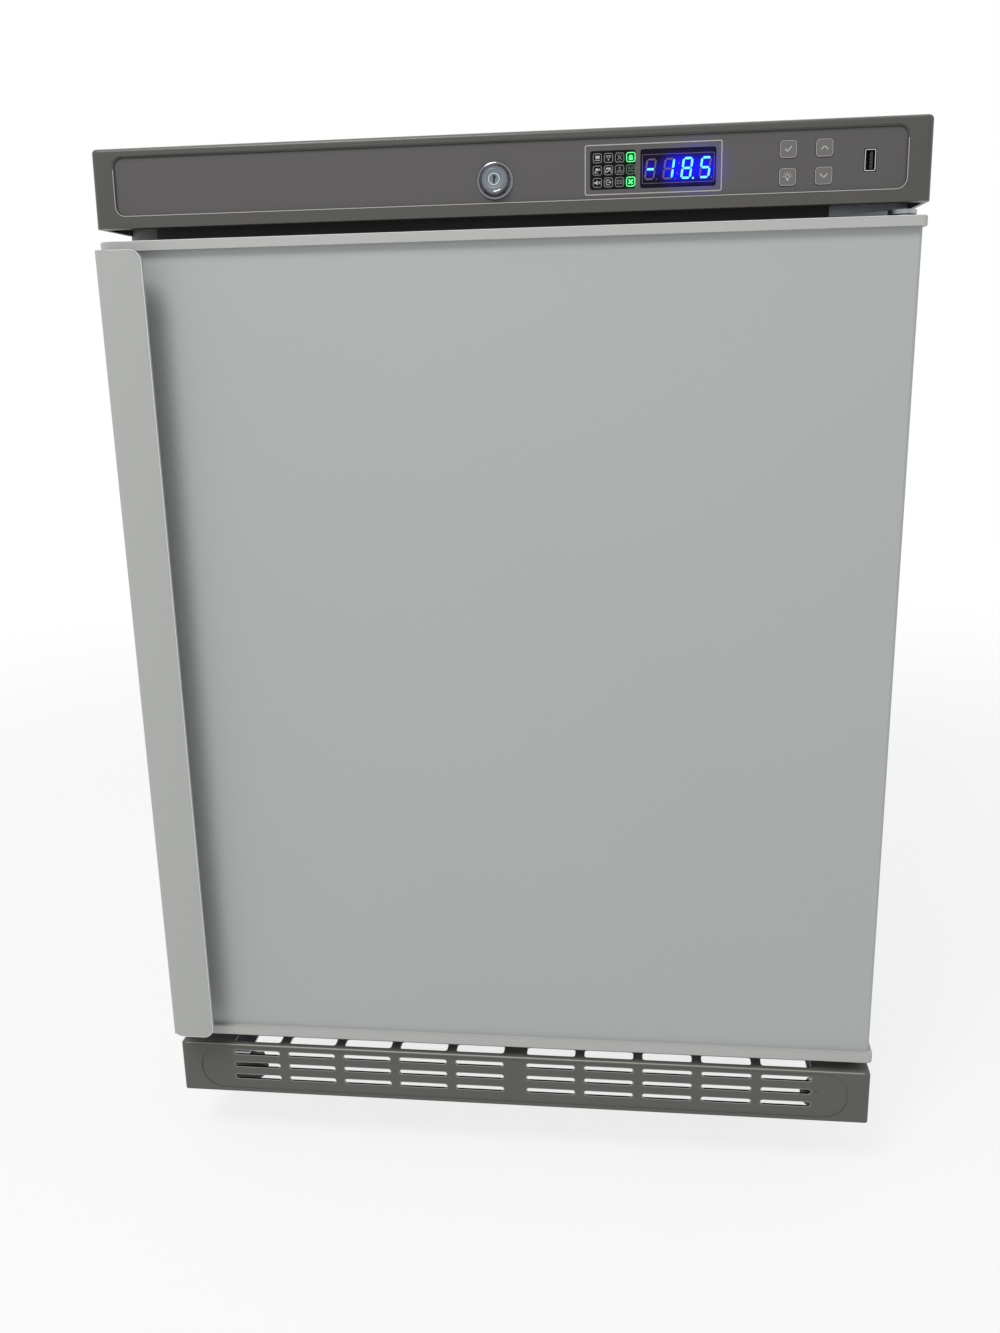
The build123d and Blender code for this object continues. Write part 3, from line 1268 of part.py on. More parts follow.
foot_plate_z = TRAY_TOP + GROMMET_H
can_z = foot_plate_z + FOOT_PLATE[2]

with BuildPart() as compressor:
    can_top = can_z + CAN_H
    shoulder = COMPRESSOR_X + CAN_R - CAN_TOP_R
    bend = CAN_TOP_R * sin(radians(45))
    belt_low = can_z + CAN_H / 2
    with BuildSketch(Plane.XZ.offset(-COMPRESSOR_Y)):
        with BuildLine():
            Polyline(
                (COMPRESSOR_X, can_top),
                (COMPRESSOR_X, can_z),
                (COMPRESSOR_X + CAN_R - CAN_BASE, can_z),
                (COMPRESSOR_X + CAN_R, can_z + CAN_BASE),
                (COMPRESSOR_X + CAN_R, belt_low),
                (COMPRESSOR_X + BELT_R, belt_low),
                (COMPRESSOR_X + BELT_R, belt_low + BELT_H),
                (COMPRESSOR_X + CAN_R, belt_low + BELT_H),
                (COMPRESSOR_X + CAN_R, can_top - CAN_TOP_R),
            )
            ThreePointArc(
                (COMPRESSOR_X + CAN_R, can_top - CAN_TOP_R),
                (shoulder + bend, can_top - CAN_TOP_R + bend),
                (shoulder, can_top),
            )
            Line((shoulder, can_top), (COMPRESSOR_X, can_top))
        make_face()
    revolve(axis=Axis((COMPRESSOR_X, COMPRESSOR_Y, 0), (0, 0, 1)))
    with BuildSketch(Plane.XY.offset(foot_plate_z)):
        with Locations((COMPRESSOR_X, COMPRESSOR_Y)):
            RectangleRounded(FOOT_PLATE[0], FOOT_PLATE[1], GROMMET_R)
    extrude(amount=FOOT_PLATE[2])
    pad_x = COMPRESSOR_X - CAN_R - RELAY_PAD
    block(
        (pad_x, COMPRESSOR_Y - RELAY_SIZE[1] / 2, can_z + CAN_BASE),
        (COMPRESSOR_X, COMPRESSOR_Y + RELAY_SIZE[1] / 2, can_z + CAN_BASE + RELAY_SIZE[2] / 2),
    )
compressor.part.label = "compressor"
export_step(compressor.part, "parts/compressor.step")

with BuildPart() as compressor_grommets:
    with BuildSketch(Plane.XY.offset(TRAY_TOP)):
        with Locations((COMPRESSOR_X, COMPRESSOR_Y)):
            spread = (FOOT_PLATE[0] - 2 * GROMMET_R, FOOT_PLATE[1] - 2 * GROMMET_R)
            with GridLocations(spread[0], spread[1], 2, 2):
                Circle(GROMMET_R)
    extrude(amount=GROMMET_H)
compressor_grommets.part.label = "compressor_grommets"
export_step(compressor_grommets.part, "parts/compressor_grommets.step")

with BuildPart() as relay_box:
    block(
        (pad_x - RELAY_SIZE[0], COMPRESSOR_Y - RELAY_SIZE[1] / 2, can_z + RELAY_RISE),
        (pad_x, COMPRESSOR_Y + RELAY_SIZE[1] / 2, can_z + RELAY_RISE + RELAY_SIZE[2]),
    )
    fillet(relay_box.edges().filter_by(Axis.Y).group_by(Axis.X)[0], RELAY_R)
relay_box.part.label = "relay_box"
export_step(relay_box.part, "parts/relay_box.step")

# Pipes: each starts and ends face to face with what it joins
stub_z = can_z + CAN_H / 2 + BELT_H + STUB_RISE
stub_x = COMPRESSOR_X + CAN_R
riser_x = TUBE_HALF + TUBE_PITCH / 2 + RISER_GAP
discharge_pipe = pipe(
    [
        (stub_x, COMPRESSOR_Y, stub_z),
        (stub_x + DISCHARGE_RUN, COMPRESSOR_Y, stub_z),
        (stub_x + DISCHARGE_RUN, TUBE_Y, stub_z),
        (riser_x, TUBE_Y, stub_z),
        (riser_x, TUBE_Y, TUBE_TOP),
        (TUBE_HALF, TUBE_Y, TUBE_TOP),
    ],
    PIPE_R,
    BEND_R,
)
discharge_pipe.label = "discharge_pipe"
export_step(discharge_pipe, "parts/discharge_pipe.step")

suction_low = can_z + CAN_BASE + SUCTION_RISE
suction_pipe = pipe(
    [
        (SUCTION_PLACE[0], BAY_Y + SUCTION_PLACE[1], BAY_TOP),
        (SUCTION_PLACE[0], BAY_Y + SUCTION_PLACE[1], suction_low),
        (SUCTION_PLACE[0], COMPRESSOR_Y, suction_low),
        (stub_x, COMPRESSOR_Y, suction_low),
    ],
    PIPE_R,
    BEND_R,
)
suction_pipe.label = "suction_pipe"
export_step(suction_pipe, "parts/suction_pipe.step")

drier_x = -TUBE_HALF - 2 * BEND_R
drier_y = BODY_REAR_Y - 2 * BEND_R
drier_top = BAY_TOP - 2 * BEND_R
outlet_bends = [
    (-TUBE_HALF, TUBE_Y, TUBE_BOTTOM),
    (drier_x, TUBE_Y, TUBE_BOTTOM),
    (drier_x, TUBE_Y, BAY_TOP - BEND_R / 2),
    (drier_x, drier_y, BAY_TOP - BEND_R / 2),
    (drier_x, drier_y, drier_top - DRIER_R),
]
capillary_bends = [
    (drier_x, drier_y, drier_top - DRIER_H),
    (drier_x, drier_y, drier_top - DRIER_H - 2 * BEND_R / 3),
    (drier_x, BAY_Y, drier_top - DRIER_H - 2 * BEND_R / 3),
]
outlet_tube = pipe(outlet_bends, PIPE_R, BEND_R)
capillary_tube = pipe(capillary_bends, CAPILLARY_R, BEND_R / 3)

with BuildPart() as filter_drier:
    with BuildSketch(Plane.XY.offset(drier_top - DRIER_H)):
        with Locations((drier_x, drier_y)):
            Circle(DRIER_R)
    extrude(amount=DRIER_H)
    chamfer(filter_drier.edges().group_by(Axis.Z)[-1], DRIER_R / 2)
    chamfer(filter_drier.edges().group_by(Axis.Z)[0], DRIER_R / 2)
    add(outlet_tube)
    add(capillary_tube)
filter_drier.part.label = "filter_drier"
export_step(filter_drier.part, "parts/filter_drier.step")

with BuildPart() as cable_gland:
    gland_z = TRAY_TOP + TRAY_FLANGE / 2
    with BuildSketch(Plane.XZ.offset(-tray_rear)):
        with Locations((GLAND_X, gland_z)):
            RegularPolygon(GLAND_R, 6, major_radius=False)
    extrude(amount=-GLAND_LENGTH / 2)
    with BuildSketch(Plane.XZ.offset(-tray_rear)):
        with Locations((GLAND_X, gland_z)):
            Circle(GLAND_NUT_R)
    extrude(amount=GLAND_LENGTH / 2)
    with BuildSketch(Plane.XZ.offset(-tray_rear - GLAND_LENGTH / 2)):
        with Locations((GLAND_X, gland_z)):
            Circle(GLAND_BORE_R)
    extrude(amount=GLAND_LENGTH, mode=Mode.SUBTRACT)
cable_gland.part.label = "cable_gland"
export_step(cable_gland.part, "parts/cable_gland.step")

# Condenser: one bent tube with upright wires on both sides of it
with BuildPart() as condenser:
    half_pitch = TUBE_PITCH / 2
    with BuildLine() as tube_path:
        for run in range(TUBE_RUNS):
            side = 1 if run % 2 == 0 else -1
            z = TUBE_BOTTOM + run * TUBE_PITCH
            Line((-side * TUBE_HALF, TUBE_Y, z), (side * TUBE_HALF, TUBE_Y, z))
            if run < TUBE_RUNS - 1:
                ThreePointArc(
                    (side * TUBE_HALF, TUBE_Y, z),
                    (side * (TUBE_HALF + half_pitch), TUBE_Y, z + half_pitch),
                    (side * TUBE_HALF, TUBE_Y, z + TUBE_PITCH),
                )
    with BuildSketch(Plane((-TUBE_HALF, TUBE_Y, TUBE_BOTTOM), x_dir=(0, 1, 0), z_dir=(1, 0, 0))):
        RegularPolygon(TUBE_R, 8, major_radius=False, rotation=22.5)
    sweep()
    with BuildSketch(Plane.XY.offset(TUBE_BOTTOM - TUBE_R)):
        with Locations((0, TUBE_Y)):
            with GridLocations(WIRE_PITCH, 2 * WIRE_OFFSET, WIRES, 2):
                RegularPolygon(WIRE_R, 6, rotation=30)
    extrude(amount=TUBE_TOP - TUBE_BOTTOM + 2 * TUBE_R)
condenser.part.label = "condenser"
export_step(condenser.part, "parts/condenser.step")

with BuildPart() as condenser_brackets:
    wire_front = TUBE_Y - WIRE_OFFSET - WIRE_R
    outer_wire = WIRE_PITCH * (WIRES - 1) / 2
    for x in (-outer_wire, outer_wire):
        for z in (TUBE_BOTTOM + TUBE_PITCH / 2, TUBE_TOP - TUBE_PITCH / 2):
            block((x - BRACKET_W / 2, BODY_REAR_Y, z), (x + BRACKET_W / 2, wire_front, z + BRACKET_T))
            block(
                (x - BRACKET_W / 2, BODY_REAR_Y, z),
                (x + BRACKET_W / 2, BODY_REAR_Y + BRACKET_T, z + BRACKET_FOOT),
            )
            block(
                (x - BRACKET_W / 2, wire_front - BRACKET_T, z),
                (x + BRACKET_W / 2, wire_front, z + BRACKET_FOOT),
            )
condenser_brackets.part.label = "condenser_brackets"
export_step(condenser_brackets.part, "parts/condenser_brackets.step")
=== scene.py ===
import json
from math import atan2, cos, hypot, pi, radians, sin, tau

import bmesh
import bpy
from mathutils import Color, Matrix, Vector


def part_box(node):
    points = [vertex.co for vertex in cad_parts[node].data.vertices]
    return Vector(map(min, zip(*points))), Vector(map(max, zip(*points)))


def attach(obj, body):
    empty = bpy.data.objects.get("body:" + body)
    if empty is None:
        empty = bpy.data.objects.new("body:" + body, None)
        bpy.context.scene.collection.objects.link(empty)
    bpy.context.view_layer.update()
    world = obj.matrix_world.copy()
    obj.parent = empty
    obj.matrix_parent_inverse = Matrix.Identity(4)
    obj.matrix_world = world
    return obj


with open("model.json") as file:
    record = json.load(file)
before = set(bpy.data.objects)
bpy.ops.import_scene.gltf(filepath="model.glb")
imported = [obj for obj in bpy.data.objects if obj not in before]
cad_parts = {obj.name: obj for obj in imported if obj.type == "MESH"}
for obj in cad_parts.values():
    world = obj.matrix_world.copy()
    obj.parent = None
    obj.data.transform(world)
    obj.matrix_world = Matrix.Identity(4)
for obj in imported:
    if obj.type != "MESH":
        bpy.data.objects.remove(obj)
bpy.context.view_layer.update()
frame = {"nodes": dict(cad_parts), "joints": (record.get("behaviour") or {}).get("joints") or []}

# The looks of an under-bench laboratory freezer. Metres, in the frame of its parts:
# +Z up, the floor at Z 0 and the door towards -Y.
MM = 0.001
MICRON = 0.000001
NODES = frame["nodes"]

# Camera: its place, and its angles in degrees to the left, down and about its line of sight
CAMERA_PLACE = (0.10366, -1.19512, 0.69335)
CAMERA_HEADING = 6.843
CAMERA_DOWN = 14.943
CAMERA_ROLL = -1.258
CAMERA_LENS = 32.30
CAMERA_SENSOR = 36.0

# Studio: the sky's level and tint, the lamp, the point that it is aimed at, and the floor
WORLD_LEVEL = 0.645
SKY_TINT = (0.96, 0.99, 1.0, 1.0)
WHITE = (1.0, 1.0, 1.0, 1.0)
LAMP_SIZE = 1.1
LAMP_DISTANCE = 3.0
LAMP_HEIGHT_ANGLE = 54.0
LAMP_LEFT_ANGLE = 24.0
LAMP_LEVEL = 0.52
LAMP_TINT = (1.0, 0.98, 0.95)
TARGET = (0.0, -0.25, 0.45)
FLOOR_HALF = 7.0
FLOOR_GREY = 0.80
FLOOR_GREY_RANGE = 0.01
FLOOR_ROUGHNESS = 0.9
FLOOR_GLOW_NEAR = 0.80
FLOOR_FADE_START = 0.9
FLOOR_FADE_END = 2.4

# Directions of the faces that pieces are placed on
UP = Vector((0.0, 0.0, 1.0))
FRONT = Vector((0.0, -1.0, 0.0))
REAR = Vector((0.0, 1.0, 0.0))


def face_plane(origin, out, up=UP):
    """Where a flat shape goes: its X runs across the face, its Y up it and its Z out of it."""
    across = up.cross(out)
    return Matrix.Translation(origin) @ Matrix((across, up, out)).transposed().to_4x4()


# Plane of the fascia's front: its lean is read from the keys' line of travel
KEY_TRAVEL = next(joint["axis"] for joint in frame["joints"] if joint["name"] == "press_up")
FASCIA_LOW, FASCIA_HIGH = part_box("control_fascia")
FACE_OUT = -Vector(KEY_TRAVEL).normalized()
FACE_UP = Vector((0.0, FACE_OUT.z, -FACE_OUT.y))
FASCIA_FACE = face_plane((0.0, FASCIA_LOW.y, FASCIA_LOW.z), FACE_OUT, FACE_UP)
OVERLAY_DEPTH = 2.0 * MM
OVERLAY_FACE = FASCIA_FACE @ Matrix.Translation((0.0, 0.0, -OVERLAY_DEPTH))

# Shader nodes
SCREEN_WHITE = 255
MIX_SOCKETS = {"FLOAT": (2, 3, 0), "RGBA": (6, 7, 2)}  # two inputs and the output, by kind of data


def srgb(red, green, blue):
    """A colour named by its 8-bit screen values, as linear RGBA."""
    screen = Color((red / SCREEN_WHITE, green / SCREEN_WHITE, blue / SCREEN_WHITE))
    return (*screen.from_srgb_to_scene_linear(), 1.0)


def new_material(name):
    """A material, with its node tree and its shader."""
    material = bpy.data.materials.new(name)
    material.use_nodes = True
    return material, material.node_tree, material.node_tree.nodes["Principled BSDF"]


def add_node(tree, kind, inputs=(), **settings):
    """A shader node with its settings, its inputs set to values or linked to sockets."""
    made = tree.nodes.new("ShaderNode" + kind)
    for key, value in settings.items():
        setattr(made, key, value)
    for key, value in dict(inputs).items():
        if isinstance(value, bpy.types.NodeSocket):
            tree.links.new(value, made.inputs[key])
        else:
            made.inputs[key].default_value = value
    return made


def object_place(tree):
    """The place on the object, which patterns follow."""
    return add_node(tree, "TexCoord").outputs["Object"]


def noise(tree, place, scale, detail, roughness=0.5, output="Fac"):
    """Soft noise about one half, more broken with more detail and roughness."""
    inputs = {"Vector": place, "Scale": scale, "Detail": detail, "Roughness": roughness}
    return add_node(tree, "TexNoise", inputs).outputs[output]


def maths(tree, operation, first, second):
    """The result of a sum with two values."""
    return add_node(tree, "Math", {0: first, 1: second}, operation=operation).outputs[0]


def scaled(tree, vector, factor):
    """A vector or a colour times a factor."""
    return add_node(tree, "VectorMath", {0: vector, "Scale": factor}, operation="SCALE").outputs[0]


def ramp(tree, value, start, end, low=0.0, high=1.0, ease="LINEAR"):
    """A value that goes from low to high while another goes from start to end."""
    inputs = {"Value": value, "From Min": start, "From Max": end, "To Min": low, "To Max": high}
    return add_node(tree, "MapRange", inputs, interpolation_type=ease).outputs[0]


def mixed(tree, share, first, second, kind="RGBA"):
    """A colour or a value between two, by the share of the second."""
    first_socket, second_socket, result = MIX_SOCKETS[kind]
    inputs = {0: share, first_socket: first, second_socket: second}
    return add_node(tree, "Mix", inputs, data_type=kind).outputs[result]


# Effects: node groups that put out a colour, a roughness and a height
BASIC_INPUTS = {
    "Colour": ("NodeSocketColor", (0.5, 0.5, 0.5, 1.0)),
    "Roughness": ("NodeSocketFloat", 0.4),
    "Amount": ("NodeSocketFloat", 0.05),
    "Scale": ("NodeSocketFloat", 100.0),
}
STRETCH_INPUT = {"Stretch": ("NodeSocketVector", (1.0, 1.0, 1.0))}
HEIGHT_INPUT = {"Height": ("NodeSocketFloat", 0.0)}
FROST_WHITE = (0.92, 0.95, 0.98, 1.0)
OXIDE_BROWN = (0.09, 0.045, 0.03, 1.0)
DUST_GREY = (0.42, 0.40, 0.37, 1.0)
DUST_ROUGHNESS = 0.9
DUST_SCALE = 18.0


def open_group(name, inputs):
    """A new effect: its node group, the values that it is given and the place on the object."""
    tree = bpy.data.node_groups.new(name, "ShaderNodeTree")
    for label, (kind, value) in inputs.items():
        socket = tree.interface.new_socket(label, in_out="INPUT", socket_type=kind)
        socket.default_value = value
    return tree, tree.nodes.new("NodeGroupInput").outputs, object_place(tree)


def close_group(tree, colour, roughness, height):
    """Ends an effect with the three things that it puts out."""
    results = {
        "Colour": ("NodeSocketColor", colour),
        "Roughness": ("NodeSocketFloat", roughness),
        "Height": ("NodeSocketFloat", height),
    }
    for label, (kind, _) in results.items():
        tree.interface.new_socket(label, in_out="OUTPUT", socket_type=kind)
    end = tree.nodes.new("NodeGroupOutput")
    for label, (_, value) in results.items():
        tree.links.new(value, end.inputs[label])
    return tree


def varied(tree, given, mask):
    """The given colour made lighter and darker by a mask about one half, the roughness with it."""
    shift = maths(tree, "MULTIPLY", maths(tree, "SUBTRACT", mask, 0.5), given["Amount"])
    colour = scaled(tree, given["Colour"], maths(tree, "ADD", shift, 1.0))
    return colour, maths(tree, "ADD", given["Roughness"], shift)


def covered(tree, given, cover, colour):
    """The given colour under patches of another, which are rougher by as much as they cover."""
    strength = maths(tree, "MULTIPLY", cover, given["Amount"])
    patched = mixed(tree, strength, given["Colour"], colour)
    return patched, maths(tree, "ADD", given["Roughness"], strength)


def sprayed_paint():
    """Powder paint: broad faint clouds in the colour and a fine orange peel in the relief."""
    tree, given, place = open_group("sprayed_paint", BASIC_INPUTS)
    clouds = noise(tree, place, scale=5.0, detail=3.0)
    peel = noise(tree, place, scale=given["Scale"], detail=1.0, roughness=0.3)
    return close_group(tree, *varied(tree, given, clouds), peel)


def moulded_grain():
    """Moulded plastic: a fine pebbled grain that also speckles the colour."""
    tree, given, place = open_group("moulded_grain", BASIC_INPUTS)
    inputs = {"Vector": place, "Scale": given["Scale"]}
    pebbles = add_node(tree, "TexVoronoi", inputs, feature="SMOOTH_F1").outputs["Distance"]
    clouds = noise(tree, place, scale=14.0, detail=4.0)
    speckle = noise(tree, place, scale=given["Scale"], detail=2.0)
    mask = mixed(tree, share=0.55, first=clouds, second=speckle, kind="FLOAT")
    return close_group(tree, *varied(tree, given, mask), pebbles)


def drawn_lines():
    """Brushed or drawn metal: long fine lines along one direction."""
    tree, given, place = open_group("drawn_lines", BASIC_INPUTS | STRETCH_INPUT)
    stretched = add_node(tree, "VectorMath", {0: place, 1: given["Stretch"]}, operation="MULTIPLY")
    lines = noise(tree, stretched.outputs[0], scale=given["Scale"], detail=6.0, roughness=0.7)
    return close_group(tree, *varied(tree, given, lines), lines)


def zinc_spangle():
    """Hot-dipped zinc: angular crystals, each a little lighter or darker."""
    tree, given, place = open_group("zinc_spangle", BASIC_INPUTS)
    bend = noise(tree, place, scale=60.0, detail=2.0, output="Color")
    bent = mixed(tree, share=0.02, first=place, second=bend)
    crystals = add_node(tree, "TexVoronoi", {"Vector": bent, "Scale": given["Scale"]})
    tone = add_node(tree, "SeparateColor", {0: crystals.outputs["Color"]})
    return close_group(tree, *varied(tree, given, tone.outputs["Red"]), tone.outputs["Green"])


def hoar_frost():
    """Frost on cold aluminium: white crystals that gather in patches."""
    tree, given, place = open_group("hoar_frost", BASIC_INPUTS)
    patches = noise(tree, place, scale=9.0, detail=5.0, roughness=0.65)
    crystals = noise(tree, place, scale=given["Scale"], detail=4.0)
    cover = ramp(tree, maths(tree, "ADD", patches, crystals), start=0.95, end=1.25)
    return close_group(tree, *covered(tree, given, cover, FROST_WHITE), crystals)


def oxide_film():
    """Aged copper: brown and darker patches over a brighter metal."""
    tree, given, place = open_group("oxide_film", BASIC_INPUTS)
    patches = noise(tree, place, scale=given["Scale"], detail=6.0, roughness=0.7)
    stain = ramp(tree, patches, start=0.45, end=0.7)
    return close_group(tree, *covered(tree, given, stain, OXIDE_BROWN), patches)


def settled_dust():
    """Dust on faces that look up: it lightens the colour and dulls the gloss."""
    tree, given, place = open_group("settled_dust", BASIC_INPUTS | HEIGHT_INPUT)
    facing = add_node(tree, "SeparateXYZ", {0: add_node(tree, "NewGeometry").outputs["Normal"]})
    upward = ramp(tree, facing.outputs["Z"], start=0.6, end=1.0)
    drift = noise(tree, place, scale=given["Scale"], detail=6.0, roughness=0.7)
    spread = ramp(tree, drift, start=0.35, end=0.7, low=0.2)
    cover = maths(tree, "MULTIPLY", upward, spread)
    strength = maths(tree, "MULTIPLY", cover, given["Amount"])
    colour = mixed(tree, strength, given["Colour"], DUST_GREY)
    roughness = mixed(tree, strength, given["Roughness"], DUST_ROUGHNESS, kind="FLOAT")
    return close_group(tree, colour, roughness, given["Height"])


EFFECTS = {
    "paint": sprayed_paint(),
    "grain": moulded_grain(),
    "lines": drawn_lines(),
    "spangle": zinc_spangle(),
    "frost": hoar_frost(),
    "oxide": oxide_film(),
    "dust": settled_dust(),
}


def finish(name, effect, colour, roughness, amount, scale, relief, dust=0.0, stretch=None, **sockets):
    """A material from one effect, with its relief in microns and plain values on the shader."""
    material, tree, shader = new_material(name)
    values = {"Colour": srgb(*colour), "Roughness": roughness, "Amount": amount, "Scale": scale}
    if stretch:
        values["Stretch"] = stretch
    surface = add_node(tree, "Group", values, node_tree=EFFECTS[effect]).outputs
    if dust:
        under = {label: surface[label] for label in ("Colour", "Roughness", "Height")}
        values = {**under, "Amount": dust, "Scale": DUST_SCALE}
        surface = add_node(tree, "Group", values, node_tree=EFFECTS["dust"]).outputs
    bump = add_node(tree, "Bump", {"Distance": relief * MICRON, "Height": surface["Height"]})
    tree.links.new(surface["Colour"], shader.inputs["Base Color"])
    tree.links.new(surface["Roughness"], shader.inputs["Roughness"])
    tree.links.new(bump.outputs[0], shader.inputs["Normal"])
    for label, value in sockets.items():
        shader.inputs[label.replace("_", " ")].default_value = value
    return material


# Finishes, one for each material slot of the record
METAL = {"Metallic": 1.0}
SATIN = {"Specular_IOR_Level": 0.35}
DIM_GLASS = {"Specular_IOR_Level": 0.10}
SLOT_LOOKS = {
    "body_paint": dict(effect="paint", colour=(172, 173, 172), roughness=0.42, amount=0.03,
                       scale=900.0, relief=30, dust=0.10, **SATIN),
    "door_paint": dict(effect="paint", colour=(172, 175, 174), roughness=0.40, amount=0.035,
                       scale=900.0, relief=30, **SATIN),
    "cap_plastic": dict(effect="grain", colour=(178, 178, 176), roughness=0.45, amount=0.03,
                        scale=1600.0, relief=20, dust=0.05, **SATIN),
    "handle_paint": dict(effect="paint", colour=(171, 172, 170), roughness=0.45, amount=0.03,
                         scale=1100.0, relief=30, **SATIN),
    "fascia_plastic": dict(effect="grain", colour=(70, 69, 65), roughness=0.36, amount=0.06,
                           scale=1500.0, relief=30, dust=0.04),
    "overlay_film": dict(effect="grain", colour=(82, 80, 80), roughness=0.44, amount=0.03,
                         scale=2600.0, relief=10, **SATIN),
    "window_plastic": dict(effect="grain", colour=(17, 15, 20), roughness=0.25, amount=0.10,
                           scale=300.0, relief=2),
    "key_plastic": dict(effect="grain", colour=(104, 102, 101), roughness=0.48, amount=0.05,
                        scale=2200.0, relief=20, **SATIN),
    "board_resin": dict(effect="grain", colour=(34, 82, 48), roughness=0.35, amount=0.12,
                        scale=700.0, relief=30),
    "black_plastic": dict(effect="grain", colour=(24, 24, 25), roughness=0.42, amount=0.12,
                          scale=1400.0, relief=40, dust=0.15),
    "lock_plate": dict(effect="lines", colour=(168, 172, 176), roughness=0.22, amount=0.10,
                       scale=90.0, relief=4, stretch=(1.0, 6.0, 40.0), **METAL),
    "zinc_sheet": dict(effect="spangle", colour=(172, 176, 180), roughness=0.38, amount=0.16,
                       scale=60.0, relief=20, dust=0.12, **METAL),
    "foam": dict(effect="grain", colour=(222, 205, 150), roughness=0.85, amount=0.10,
                 scale=240.0, relief=300),
    "liner_plastic": dict(effect="frost", colour=(226, 229, 230), roughness=0.32, amount=0.20,
                          scale=420.0, relief=30),
    # The front frame's grey is darkened as painted shade, for the dim gap between the fascia and the door
    "frame_plastic": dict(effect="grain", colour=(84, 85, 87), roughness=0.38, amount=0.03,
                          scale=1400.0, relief=20, dust=0.05),
    "evaporator_aluminium": dict(effect="frost", colour=(176, 182, 188), roughness=0.36, amount=0.70,
                                 scale=300.0, relief=200, Metallic=0.6),
    "lamp_plastic": dict(effect="grain", colour=(235, 236, 232), roughness=0.30, amount=0.03,
                         scale=900.0, relief=20),
    "gasket_rubber": dict(effect="grain", colour=(122, 124, 126), roughness=0.60, amount=0.06,
                          scale=1200.0, relief=30, dust=0.08),
    "nylon": dict(effect="grain", colour=(218, 216, 208), roughness=0.45, amount=0.04,
                  scale=900.0, relief=30),
    "black_rubber": dict(effect="grain", colour=(26, 26, 26), roughness=0.70, amount=0.15,
                         scale=900.0, relief=60, dust=0.30),
    "black_enamel": dict(effect="paint", colour=(20, 20, 21), roughness=0.28, amount=0.20,
                         scale=420.0, relief=80, dust=0.45),
    "copper_tube": dict(effect="oxide", colour=(200, 122, 84), roughness=0.30, amount=0.55,
                        scale=45.0, relief=10, dust=0.10, **METAL),
    "foot_plastic": dict(effect="grain", colour=(30, 30, 31), roughness=0.55, amount=0.12,
                         scale=1000.0, relief=50, dust=0.30),
}
FINISHES = {slot: finish(slot, **look) for slot, look in SLOT_LOOKS.items()}
for node in NODES.values():
    for seat in node.material_slots:
        seat.material = FINISHES[seat.material.name]
NODES["kick_grille"].material_slots[0].material = finish(
    "grille_plastic", "grain", (90, 89, 85), roughness=0.50, amount=0.06, scale=1500.0, relief=40,
    dust=0.10, **SATIN,
)

# Finishes of printed marks, of painted highlights and painted shade, and of bright metal
PRINT = dict(effect="grain", roughness=0.45, scale=2200.0, relief=10)
EDGE = dict(effect="grain", roughness=0.42, amount=0.06, scale=1500.0, relief=20)
CHROME = dict(effect="lines", scale=60.0, relief=2, stretch=(1.0, 6.0, 30.0), **METAL)
MARK_GREY = finish("mark_grey", colour=(118, 118, 120), amount=0.12, **PRINT)
MARK_PALE = finish("mark_pale", colour=(176, 176, 176), amount=0.10, **PRINT)
MARK_GREEN = finish("mark_green", colour=(84, 118, 96), amount=0.10, **PRINT)
SEGMENT_OFF = finish("segment_off", colour=(92, 76, 104), amount=0.08, **PRINT)
# Pale print for the display's bezel and the keys' rims; on the fascia's recess the same finish is a
# painted highlight
PALE_PRINT_AND_HIGHLIGHT = finish(
    "pale_print_and_highlight", "grain", (168, 165, 163), roughness=0.42, amount=0.06, scale=2200.0, relief=10
)
# Painted highlights: pale finishes for edges, slot rims and slot walls, lighter than their parts where
# light would catch them
HIGHLIGHT_GREY = finish("highlight_grey", colour=(150, 149, 144), **EDGE, **SATIN)
WALL_HIGHLIGHT = finish("wall_highlight", colour=(196, 196, 192), **EDGE)
HIGHLIGHT_BRIGHT = finish(
    "highlight_bright", "grain", (214, 216, 215), roughness=0.35, amount=0.03, scale=1600.0, relief=20
)
# Painted shade: near black for raised marks that stand in for the keyway and the screws' cross recesses
PAINTED_SHADE_BLACK = finish("painted_shade_black", "grain", (8, 8, 9), roughness=0.6, amount=0.10, scale=900.0, relief=20)
POLISHED = finish("polished", colour=(214, 216, 218), roughness=0.10, amount=0.06, **CHROME)
DARK_CHROME = finish("dark_chrome", colour=(120, 124, 128), roughness=0.14, amount=0.10, **CHROME)
BRUSHED = finish(
    "brushed", "lines", (118, 127, 133), roughness=0.34, amount=0.14, scale=110.0, relief=6,
    stretch=(2.0, 1.0, 30.0), **METAL,
)
CONTACT_GOLD = finish(
    "contact_gold", "lines", (196, 168, 104), roughness=0.25, amount=0.10, scale=200.0, relief=4,
    stretch=(1.0, 1.0, 9.0), **METAL,
)

# Lit marks, and a painted glow as emission on the glass and the film near them, standing in for the light
# that they throw
LIT_LEVEL = 1.0
LIT_GRAIN = 500.0
LIT_ROUGHNESS = 0.35


def lit_mark(name, core, edge):
    """A lit mark: its own colour, uneven towards a paler one."""
    material, tree, shader = new_material(name)
    cloud = noise(tree, object_place(tree), scale=LIT_GRAIN, detail=2.0)
    colour = mixed(tree, cloud, srgb(*core), srgb(*edge))
    tree.links.new(colour, shader.inputs["Base Color"])
    tree.links.new(colour, shader.inputs["Emission Color"])
    shader.inputs["Emission Strength"].default_value = LIT_LEVEL
    shader.inputs["Roughness"].default_value = LIT_ROUGHNESS
    return material


